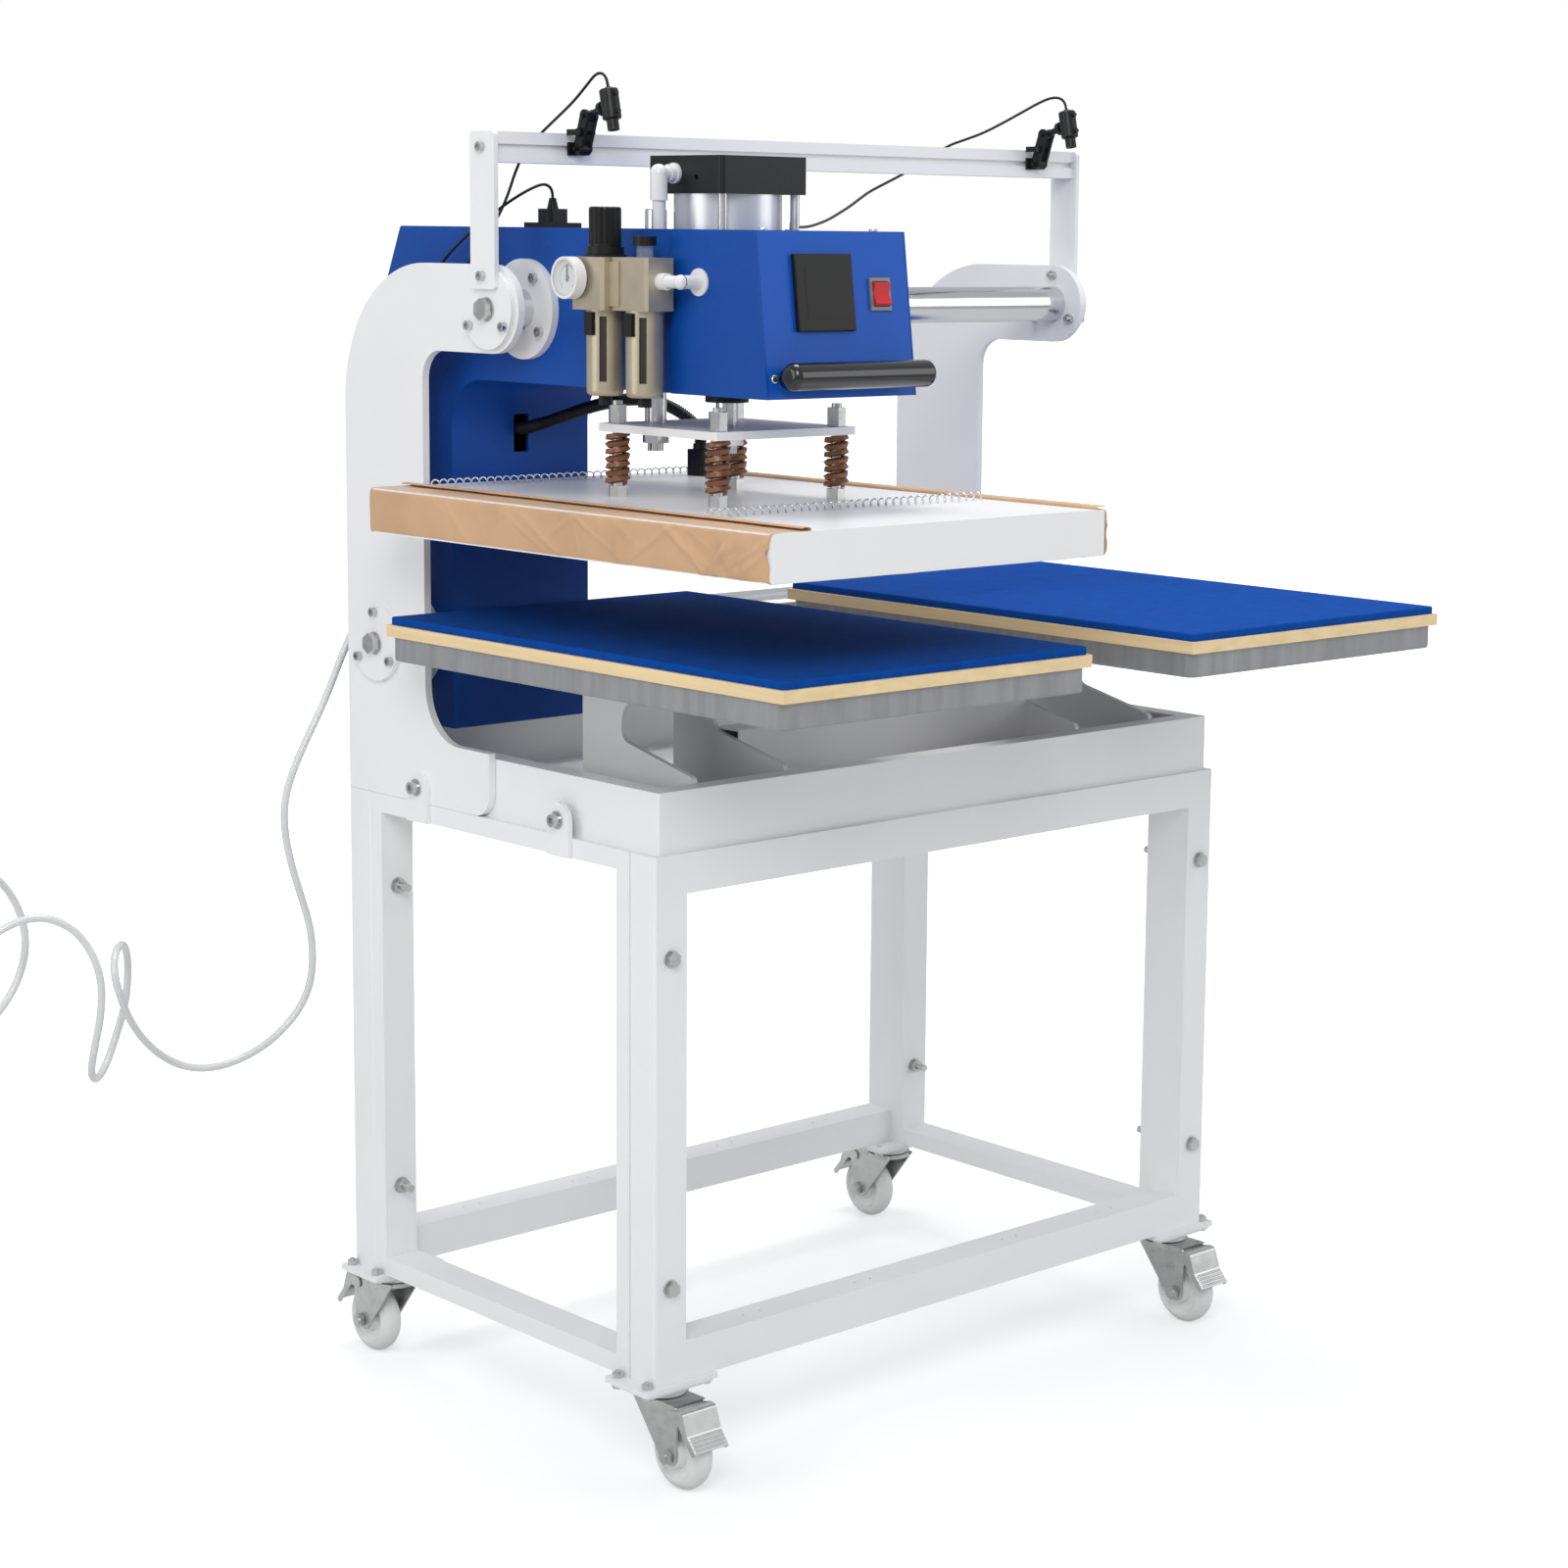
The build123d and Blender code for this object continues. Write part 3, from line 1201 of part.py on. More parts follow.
for x, y in spring_places:
    hole = bar("Z", (x, y, wool_z - 1), platen_bolt_radius + fit_gap, platen_top_z - wool_z + 2)
    cover -= hole
    wool -= hole
    element -= bar("Z", (x, y, wool_z - 8), platen_bolt_radius + thread_gap, 9)
    base = Pos(x, y, platen_top_z) * hex_nut(platen_bolt_radius, platen_bolt_head_radius,
                                            platen_bolt_head_height)
    top = plate_top_z2 + platen_bolt_nut_gap
    shank = bar("Z", (x, y, wool_z - 8), platen_bolt_radius,
                top + 2 * platen_bolt_nut_height + 2 - wool_z + 8)
    lower = Pos(x, y, top) * hex_nut(platen_bolt_radius, platen_bolt_head_radius,
                                     platen_bolt_nut_height)
    upper = Pos(x, y, top + platen_bolt_nut_height) * hex_nut(
        platen_bolt_radius, platen_bolt_head_radius, platen_bolt_nut_height - 2)
    bolts += [base, shank, lower, upper]
write("platen_bolts", bolts)
write("heating_plate", [element, wool])

# Terminal block on the cover, where the conduit ends
block_x, block_y = head_x + terminal_block_x, deep(terminal_block_depth)
tx, ty, tz = terminal_block_size
terminal = block(block_x - tx / 2, block_x + tx / 2, block_y - ty / 2, block_y + ty / 2,
                 platen_top_z, platen_top_z + tz)
terminal = fillet(terminal.edges().filter_by(Axis.Z), 3)
terminal += bar("Z", (block_x, block_y, platen_top_z + tz - 1), conduit_radius + 2, 7)
write("terminal_block", [terminal])
write("heat_platen_cover", [cover])

# Sleeve wrapped under the platen and over its two ends, with a hem on each end
t = sleeve_thickness
left = head_x - cover_half_x - fit_gap - t
right = head_x + cover_half_x + fit_gap + t
y0, y1 = platen_y - cover_half_y, platen_y + cover_half_y
z0, z1 = sheet_z - fit_gap - t, platen_top_z + fit_gap + t
sleeve = block(left, right, y0, y1, z0, z1)
sleeve = fillet(sleeve.edges().filter_by(Axis.Y), t + 1)
sleeve -= block(left + t, right - t, y0 - 1, y1 + 1, z0 + t, z1 - t)
sleeve -= block(left + t + sleeve_hem_left, right - t - sleeve_hem_right, y0 - 1, y1 + 1,
                platen_top_z, z1 + 1)
hem_y = y1 - y0
left_hem = left + t + sleeve_hem_left
right_hem = right - t - sleeve_hem_right
for x, way in ((left_hem, -1), (right_hem, 1)):
    centre = (x + way * hem_radius, y0, platen_top_z + fit_gap + hem_radius)
    sleeve += bar("Y", centre, hem_radius, hem_y)
    sleeve -= bar("Y", (centre[0], y0 - 1, centre[2]), hem_radius - t, hem_y + 2)
write("platen_sleeve", [sleeve])


# Filter with its regulator, and the oiler, hung on the side of the head
block_right = head_left_x - filter_gap
block_z0 = rise(filter_bottom_rise)
block_z1 = block_z0 + filter_height
oiler_y0 = deep(filter_front_depth)
regulator_y0 = oiler_y0 + oiler_length
oiler_x, oiler_y = block_right - oiler_width / 2, oiler_y0 + oiler_length / 2 - 3
regulator_x = block_right - regulator_width / 2
regulator_y = regulator_y0 + regulator_length / 2


def body_block(x0, x1, y0, y1):
    body = block(x0, x1, y0, y1, block_z0, block_z1)
    return chamfer(body.edges().filter_by(Axis.Z), 3)


regulator = body_block(block_right - regulator_width, block_right, regulator_y0,
                       regulator_y0 + regulator_length)
oiler = body_block(block_right - oiler_width, block_right, oiler_y0, regulator_y0)
bonnet = bar("Z", (regulator_x, regulator_y, block_z1), knob_collar_radius + 3, 2)
stem_z = block_z1 + 2
bonnet += bar("Z", (regulator_x, regulator_y, stem_z), 4, 12)
sight = bar("Z", (oiler_x, oiler_y, block_z1), dome_radius - 3, dome_height * 0.55)
cap = bar("Z", (oiler_x, oiler_y, block_z1 + dome_height * 0.55), dome_radius,
          dome_height * 0.45)
bracket_y = regulator_y0 - 6
filter_bracket = block(block_right, head_left_x, bracket_y, bracket_y + 12, block_z0 + 6,
                       block_z1 - 6)
link_x = block_right - oiler_width
link = block(link_x - 2, link_x, regulator_y0 - 15, regulator_y0, block_z0 + 4, block_z1 - 4)
gauge_y, gauge_z = regulator_y0 + regulator_length - 10, block_z1 - gauge_radius
gauge_left = block_right - regulator_width
write("filter_blocks", [regulator, oiler, bonnet, sight, cap, filter_bracket, link])

knob_z = stem_z + fit_gap
knob = bar("Z", (regulator_x, regulator_y, knob_z), knob_collar_radius, 7)
knob += bar("Z", (regulator_x, regulator_y, knob_z + 7), knob_radius, knob_height)
knob = fillet(knob.faces().sort_by(Axis.Z)[-1].edges(), 2.5)
for turn in range(0, 360, 20):
    groove_x = regulator_x + knob_radius * math.cos(math.radians(turn))
    groove_y = regulator_y + knob_radius * math.sin(math.radians(turn))
    knob -= bar("Z", (groove_x, groove_y, knob_z + 10), 1.1, knob_height)
knob -= bar("Z", (regulator_x, regulator_y, knob_z - 1), 4 + fit_gap, 13.5)
write("regulator_knob", [knob])

# Metal bowl guards with sight slots, the clear bowls inside and their drains
bowls = []
for x, y in ((regulator_x, regulator_y), (oiler_x, oiler_y)):
    z0 = block_z0 - bowl_length
    guard = bar("Z", (x, y, z0), bowl_radius, bowl_length)
    guard = fillet(guard.faces().sort_by(Axis.Z)[0].edges(), 5)
    guard -= bar("Z", (x, y, z0 + bowl_wall), bowl_radius - bowl_wall, bowl_length)
    slot = block(-sight_slot_width / 2, sight_slot_width / 2, -bowl_radius - 5,
                 bowl_radius + 5, 14, bowl_length - 6)
    guard -= Pos(x, y, z0) * Rot(0, 0, -45) * slot
    inner = bowl_radius - bowl_wall - 0.3
    clear = bar("Z", (x, y, z0 + bowl_wall + 0.3), inner, bowl_length - bowl_wall - 0.3)
    clear -= bar("Z", (x, y, z0 + bowl_wall + 2.3), inner - 2, bowl_length)
    latch = block(x - bowl_radius - 3, x - bowl_radius + 1, y - 6, y + 6,
                  block_z0 - 24, block_z0 - 2)
    drain = bar("Z", (x, y, z0 - 9), 6.5, 9)
    bowls += [guard, clear, latch - bar("Z", (x, y, z0), bowl_radius, bowl_length), drain]
write("filter_bowls", bowls)

# Pressure gauge on the regulator with a needle under its glass
case = bar("X", (gauge_left - gauge_thickness, gauge_y, gauge_z), gauge_radius,
           gauge_thickness - 4)
case += bar("X", (gauge_left - 4, gauge_y, gauge_z), 6, 4)
dial_x = gauge_left - gauge_thickness + 5
case -= bar("X", (gauge_left - gauge_thickness - 1, gauge_y, gauge_z), gauge_radius - 2.5, 6)
glass = bar("X", (gauge_left - gauge_thickness + 0.5, gauge_y, gauge_z), gauge_radius - 2.5, 1)
post = bar("X", (dial_x - 2.6, gauge_y, gauge_z), 0.8, 2.6)
write("pressure_gauge", [case + post, glass])
needle_x = dial_x - 1.6
needle = bar("X", (needle_x, gauge_y, gauge_z), 2.2, 0.8)
tip = block(needle_x, needle_x + 0.8, gauge_y - 0.6, gauge_y + 0.6, gauge_z - 4,
            gauge_z + needle_length)
needle = needle + tip - bar("X", (needle_x - 1, gauge_y, gauge_z), 0.85, 3)
write("gauge_needle", [toward((0, 0, 0), (0, 0, 1), needle)])

# Fittings: outlet elbow, cylinder elbow with its clear tube, hose inlet, gland, grommet
nipple = bar("Y", (oiler_x, oiler_y0 - 10, grommet_z), 8, 10)
run_y = grommet_y - 0.001
elbow = bar("Y", (oiler_x, run_y, grommet_z), 6, oiler_y0 - 10 - run_y)
elbow += Pos(oiler_x, run_y, grommet_z) * Sphere(7)
elbow += bar("X", (oiler_x, run_y, grommet_z), 6.5, box_left - oiler_x + 4)
grommet = ring("X", (box_left - 2, grommet_y, grommet_z), grommet_radius + 3, 6.6, 2)
seal_x = head_x - cap_half - 3
cap_nut = bar("X", (seal_x, tube_y, port_z), 10, 3)
cap_nut += bar("X", (seal_x - 6, tube_y, port_z), 8.5, 6)
cap_nut += bar("X", (head_x - cap_half - 0.1, tube_y, port_z), fitting_thread_radius, 12)
cap_elbow = bar("X", (tube_x, tube_y, port_z), 7, seal_x - 6 - tube_x)
cap_elbow += Pos(tube_x, tube_y, port_z) * Sphere(8.5)
cap_elbow += bar("Z", (tube_x, tube_y, port_z - 26), 8.5, 26)
clear_tube = ring("Z", (tube_x, tube_y, foot_z + 40), air_tube_radius, air_tube_radius - 1.5,
                  port_z - 26 - foot_z - 40)
inlet_y = deep(head_back)
inlet = bar("Y", (inlet_x, inlet_y, inlet_z), hose_inlet_radius + 4, 3)
inlet += bar("Y", (inlet_x, inlet_y - head_wall - 10, inlet_z), hose_inlet_radius,
             head_wall + 10)
inlet_lock = ring("Y", (inlet_x, inlet_y - head_wall - 5, inlet_z), hose_inlet_radius + 4,
                  hose_inlet_radius + thread_gap, 5)
inlet += bar("Y", (inlet_x, inlet_y, inlet_z), 6, hose_start_out)
inlet += Pos(inlet_x, inlet_y + hose_start_out, inlet_z) * Sphere(7)
inlet += bar("Z", (inlet_x, inlet_y + hose_start_out, inlet_z - 12), 6.5, 12)
gland = ring("Z", (gland_x, gland_y, head_top_z - head_wall), cable_gland_radius,
             cable_radius + 0.1, head_wall + 1)
gland -= bar("Z", (gland_x, gland_y, head_top_z - 20), cable_radius + 0.1, 60)
gland += ring("Z", (gland_x, gland_y, head_top_z), cable_gland_radius + 2,
              cable_radius + 0.1, 1)
write("air_fittings", [nipple, elbow, grommet, cap_nut, cap_elbow, clear_tube, inlet,
                       inlet_lock, gland])

# Low-voltage adapter in its outlet on top of the head
outlet_x, outlet_y = head_x - outlet_left, deep(outlet_depth)
outlet = block(outlet_x - 24, outlet_x + 24, outlet_y - 17, outlet_y + 17, head_top_z,
               head_top_z + 5)
plug_z = head_top_z + 5
plug = block(outlet_x - 13, outlet_x + 13, outlet_y - 11, outlet_y + 11, plug_z, plug_z + 14)
plug = fillet(plug.edges().filter_by(Axis.Z), 5)
relief = Pos(outlet_x, outlet_y, plug_z + 14) * Cone(
    6, 3.5, plug_height - 14, align=(Align.CENTER, Align.CENTER, Align.MIN))
plug += relief
write("power_plug", [outlet, plug])


def least_gap(path, thickness, apart, step):
    """Smallest gap between stretches of a path that lie apart along it"""
    count = int(path.length / step)
    places = [tuple(path.position_at(k / count)) for k in range(count + 1)]
    skip = int(apart / step)
    gap = path.length
    for k in range(count + 1 - skip):
        for other in places[k + skip:]:
            gap = min(gap, math.dist(places[k], other) - thickness)
    return gap


def biarc(start, start_way, end, end_way):
    """Two tangent arcs between two points with their directions"""
    chord, ways = end - start, start_way + end_way
    a, b = 4 - ways.dot(ways), chord.dot(ways)
    reach = (-b + math.sqrt(b * b + a * chord.dot(chord))) / a
    first, second = start + start_way * reach, end - end_way * reach
    joint = (first + second) / 2
    return [TangentArc(start, joint, tangent=start_way),
            TangentArc(joint, end, tangent=second - first)]


def helix(radius, pitch, turns):
    """Path of a helix along Z in biarcs of half a turn"""
    lead = pitch / (2 * math.pi)
    spots, ways = [], []
    for k in range(2 * turns + 1):
        angle = math.pi * k
        c, s = math.cos(angle), math.sin(angle)
        spots.append(Vector(radius * c, radius * s, lead * angle))
        ways.append(Vector(-radius * s, radius * c, lead).normalized())
    arcs = []
    for k in range(2 * turns):
        arcs += biarc(spots[k], ways[k], spots[k + 1], ways[k + 1])
    return Wire(arcs)


# Die springs of flat wire between the plate and the heat platen, with flat ends
spring_length = plate_z - bolt_seat_z
spring_pitch = (spring_length - spring_wire_axial * 0.6) / spring_turns
path = helix(spring_mean_radius, spring_pitch, spring_turns)
section = Plane(origin=path @ 0, x_dir=(1, 0, 0), z_dir=path % 0)
section = section * Rectangle(spring_wire_radial, spring_wire_axial)
wound = Pos(0, 0, spring_wire_axial * 0.3) * sweep(section, path=path)
gap = least_gap(path, spring_wire_axial, 2 * spring_mean_radius * 3, 1.5)
print("die spring least gap", round(gap, 2))
reach = spring_mean_radius + spring_wire_radial
wound &= block(-reach, reach, -reach, reach, fit_gap, spring_length - fit_gap)
springs = []
for x, y in spring_places:
    springs.append(Pos(x, y, bolt_seat_z) * wound)
write("press_springs", springs)

# Long coil springs that pull the two hems of the sleeve towards each other
hold_length = right_hem - left_hem - 4 * hem_radius - 2 * hold_spring_hook
path = helix(hold_spring_radius, hold_length / hold_spring_turns, hold_spring_turns)
section = Plane(origin=path @ 0, z_dir=path % 0) * Circle(hold_spring_wire / 2)
wound = sweep(section, path=path)
gap = least_gap(path, hold_spring_wire, 4 * hold_spring_radius, 1.5)
print("hold spring least gap", round(gap, 2))
hold_springs = []
hem_z = platen_top_z + fit_gap + hold_spring_radius + hold_spring_wire / 2 + 0.2
for depth in hold_spring_depths:
    spot = (left_hem + hold_spring_hook, deep(depth), hem_z)
    hold_springs.append(Pos(*spot) * Rot(0, 90, 0) * wound)
write("sleeve_springs", hold_springs)


def cord_path(name, route):
    """Straight runs joined by the largest arcs that they allow"""
    points = [Vector(x, deep(depth), z) for x, depth, z in route]
    radii = []
    for before, here, after in zip(points, points[1:], points[2:]):
        run = min((here - before).length, (after - here).length)
        turn = math.radians((here - before).get_angle(after - here))
        radii.append(0.45 * run / math.tan(turn / 2))
    print(name, "radii", [round(radius) for radius in radii])
    return FilletPolyline(*points, radius=radii)


def cord_tube(name, route, radius):
    path = cord_path(name, route)
    tube = sweep(Plane(origin=path @ 0, z_dir=path % 0) * Circle(radius), path=path)
    expected = math.pi * radius ** 2 * path.length
    print(name, "length", round(path.length), "volume ratio", round(tube.volume / expected, 4))
    return tube


# Cables of the two laser pointers: the left one ends in the plug, the right in the gland
left_cable_route = [
    (-312, 190.1, 1375.2), (-312, 191.7, 1382.7), (-312, 199, 1389), (-312, 210, 1388),
    (-313, 222, 1378), (-316, 241, 1361), (-322, 263, 1344), (-330, 280, 1328),
    (-340, 290, 1312), (-349, 293, 1293), (-358, 293, 1270), (-369, 296, 1246),
    (-380, 307, 1223), (-387, 325, 1199), (-389, 350, 1170), (-390, 376, 1134),
    (-389, 396, 1088), (-388, 408, 1042), (-387, 419, 998), (-386, 438, 967),
    (-384, 458, 956), (-382, 478, 963), (-381, 491, 984), (-380, 496, 1014),
    (-379, 490, 1052), (-378, 475, 1090), (-379, 452, 1128), (-378, 424, 1162),
    (-377, 393, 1192), (-374, 362, 1217), (-365, 336, 1238), (-350, 320, 1255),
    (-332, 313, 1268), (-314, 311, 1277), (-300, 312, 1281), (-291, 313, 1279),
    (-287, 313, 1273), (-287, 313, 1267),
]
right_cable_route = [
    (344, 190.1, 1375.2), (344, 191.7, 1382.7), (342, 199, 1388.5), (337, 209, 1388),
    (328, 219, 1382), (316, 229, 1373), (300, 243, 1361), (277, 254, 1348),
    (257, 264, 1340), (239, 273, 1333), (222, 281, 1321), (203, 284, 1311),
    (184, 281, 1303), (160, 273, 1296), (121, 255, 1287), (84, 236, 1279),
    (50, 214, 1271), (18, 196, 1262), (-14, 177, 1255), (-46, 156, 1249),
    (-75, 137, 1245), (-113, 112, 1241), (-146, 90, 1240), (-170, 70, 1241),
    (-185, 57, 1245), (-194, 49, 1246), (-198, 45, 1243), (-198, 45, 1238),
]
write("laser_cables", [cord_tube("left cable", left_cable_route, cable_radius),
                       cord_tube("right cable", right_cable_route, cable_radius)])

# Ribbed conduit from the slot in the column to the terminal block
conduit_route = [
    (-272, 402, 1026), (-272, 384, 1027), (-267, 363, 1032), (-252, 346, 1040),
    (-229, 335, 1049), (-201, 330, 1055), (-172, 328, 1058), (-147, 322, 1056),
    (-127, 313, 1048), (-113, 302, 1036), (-107, 294, 1025), (-106, 292, 1017),
    (-106, 292, 1010.4),
]
path = cord_path("conduit", conduit_route)
steady = Vector(0.5, 0.5, 0.7)


def conduit_circle(share, radius):
    way = path.tangent_at(share)
    across = steady - way * steady.dot(way)
    return Plane(origin=path.position_at(share), x_dir=across, z_dir=way) * Circle(radius)


sections = [conduit_circle(0, conduit_radius)]
end_share = 2 * conduit_radius / path.length
pitch_share = (1 - 2 * end_share) / conduit_ribs
crest = conduit_radius + conduit_rib_height
for k in range(conduit_ribs):
    start = end_share + k * pitch_share
    for share, radius in ((0, conduit_radius), (0.3, crest), (0.7, crest),
                          (0.98, conduit_radius)):
        sections.append(conduit_circle(start + share * pitch_share, radius))
sections.append(conduit_circle(1, conduit_radius))
ribbed = loft(sections, ruled=True)
bore = sweep(Plane(origin=path @ 0, z_dir=path % 0) * Circle(conduit_bore_radius), path=path)
write("conduit", [ribbed - bore])

# Air hose from the inlet, through its curls, to a neat coil on the floor
air_hose_route = [
    (-320, 540, 904.6), (-320, 540, 891), (-330, 541, 873), (-344, 542, 855),
    (-360, 543, 837), (-376, 544, 815), (-391, 546, 788), (-417, 549, 729),
    (-440, 550, 690), (-456, 551, 659), (-467, 551, 630), (-469, 551, 600),
    (-462, 552, 563), (-450, 552, 525), (-438, 551, 487), (-435, 550, 451),
    (-440, 550, 418), (-456, 552, 390), (-488, 556, 363), (-526, 562, 347),
    (-564, 566, 344), (-601, 564, 357), (-637, 555, 385), (-666, 540, 419),
    (-685, 526, 452), (-690, 527, 474), (-684, 537, 491), (-667, 556, 497),
    (-648, 579, 491), (-632, 601, 473), (-621, 620, 446), (-618, 632, 412), (-630, 635, 374),
    (-651, 620, 350), (-678, 592, 346), (-700, 563, 364), (-706, 542, 398),
    (-701, 536, 432), (-698, 538, 466), (-702, 548, 494), (-715, 555, 517),
    (-733, 561, 531), (-754, 567, 537), (-777, 573, 533), (-800, 580, 520),
    (-827, 588, 503), (-856, 597, 492), (-884, 607, 494), (-904, 618, 514),
    (-910, 629, 548), (-886, 639, 579), (-847, 645, 593), (-809, 648, 592),
    (-771, 650, 579), (-742, 651, 554), (-724, 652, 518), (-721, 652, 485),
    (-731, 650, 455), (-752, 646, 428), (-785, 641, 404), (-818, 637, 379),
    (-845, 635, 346), (-868, 641, 306), (-886, 650, 263), (-901, 664, 219),
    (-914, 677, 174), (-926, 686, 129), (-937, 690, 87), (-946, 686, 50),
    (-951.5, 674, 24), (-954.2, 657, 8.5), (-954.7, 638, 4.3), (-954.7, 612, 4.3),
]
air_hose = cord_tube("air hose", air_hose_route, hose_radius)
write("air_hose", [air_hose])

# The coil lies in two layers: it winds inwards, climbs over half a turn and winds out
previous, last = [Vector(x, deep(depth), z) for x, depth, z in air_hose_route[-2:]]
way = (last - previous).normalized()
inward = Vector(-way.Y, way.X, 0)
coil_start = last + way * (2 * hose_radius)
centre = coil_start + inward * hose_coil_radius


def coil_node(half_turns):
    """Place and direction of the coil after a number of half turns"""
    turns_in = 2 * hose_coil_loops
    inside = hose_coil_radius - coil_step * hose_coil_loops
    slope = coil_step / (2 * math.pi)
    if half_turns <= turns_in:
        radius = hose_coil_radius - coil_step * half_turns / 2
        rate, height = -slope, 0
    else:
        radius = inside + coil_step * (half_turns - turns_in - 1) / 2
        rate, height = slope, coil_step
    if half_turns in (0, turns_in, turns_in + 1):
        rate = 0
    side = -1 if half_turns % 2 else 1
    out = inward * -side
    along = way * side
    place = centre + out * radius + Vector(0, 0, height)
    return place, (along + out * (rate / radius)).normalized()


arcs = [Line(last, coil_start)]
total = 4 * hose_coil_loops + 1
for k in range(total):
    place, heading = coil_node(k)
    next_place, next_heading = coil_node(k + 1)
    arcs += biarc(place, heading, next_place, next_heading)
arcs.append(Line(next_place, next_place + next_heading * (2 * hose_radius)))
path = Wire(arcs)
coil = sweep(Plane(origin=last, z_dir=way) * Circle(hose_radius), path=path)
gap = least_gap(path, 2 * hose_radius, 3 * hose_coil_radius, 4)
print("hose coil least gap", round(gap, 2), "length", round(path.length))
write("air_hose_coil", [coil])
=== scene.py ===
import bpy
import math
import random
from mathutils import Matrix, Vector, noise


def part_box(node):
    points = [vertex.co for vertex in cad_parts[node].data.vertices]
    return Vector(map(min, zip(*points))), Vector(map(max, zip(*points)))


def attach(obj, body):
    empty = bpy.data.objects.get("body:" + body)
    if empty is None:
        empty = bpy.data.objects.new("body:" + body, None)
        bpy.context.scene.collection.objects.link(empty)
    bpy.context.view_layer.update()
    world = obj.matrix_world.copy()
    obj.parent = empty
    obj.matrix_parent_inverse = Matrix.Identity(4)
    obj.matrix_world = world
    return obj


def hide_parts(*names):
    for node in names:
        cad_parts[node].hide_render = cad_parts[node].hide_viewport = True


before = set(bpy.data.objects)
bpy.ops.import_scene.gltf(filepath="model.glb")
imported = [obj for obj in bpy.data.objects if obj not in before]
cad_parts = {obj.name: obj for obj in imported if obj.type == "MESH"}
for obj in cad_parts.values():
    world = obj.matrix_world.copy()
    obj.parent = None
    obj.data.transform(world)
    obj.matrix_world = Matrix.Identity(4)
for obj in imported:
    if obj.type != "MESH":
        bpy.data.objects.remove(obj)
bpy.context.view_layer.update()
random.seed(7)
scene = bpy.context.scene
print("frame loaded")

# Places are millimetres of the stand: X from its middle, depth from its front face, Z from the floor
standMiddle = 8.7
standFront = -157.0


def place(x, depth, z):
    return Vector(((x + standMiddle) / 1000, (standFront + depth) / 1000, z / 1000))


# Camera at the photograph's viewpoint
photoCamera = {
    "stand": (-2315.5, -2341.1, 1238.4), "yaw": 43.353, "pitch": 8.651, "roll": 0.688,
    "focalPixels": 3263.8, "centreX": 902.9, "centreY": 731.4, "imageSize": 1600, "sensor": 36.0,
}


def makeCamera(look):
    data = bpy.data.cameras.new("photoCamera")
    camera = bpy.data.objects.new("photoCamera", data)
    scene.collection.objects.link(camera)
    yaw, pitch, roll = (math.radians(look[key]) for key in ("yaw", "pitch", "roll"))
    forward = Vector((math.sin(yaw) * math.cos(pitch), math.cos(yaw) * math.cos(pitch), -math.sin(pitch)))
    right = Vector((math.cos(yaw), -math.sin(yaw), 0))
    down = forward.cross(right)
    rolledRight = right * math.cos(roll) - down * math.sin(roll)
    rolledDown = right * math.sin(roll) + down * math.cos(roll)
    turn = Matrix((rolledRight, -rolledDown, -forward)).transposed()
    camera.matrix_world = Matrix.Translation(place(*look["stand"])) @ turn.to_4x4()
    data.sensor_width = look["sensor"]
    data.lens = look["focalPixels"] / look["imageSize"] * look["sensor"]
    data.shift_x = -(look["centreX"] / look["imageSize"] - 0.5)
    data.shift_y = look["centreY"] / look["imageSize"] - 0.5
    data.clip_end = 50
    scene.camera = camera


makeCamera(photoCamera)
scene.view_settings.view_transform = "Standard"
print("camera placed")


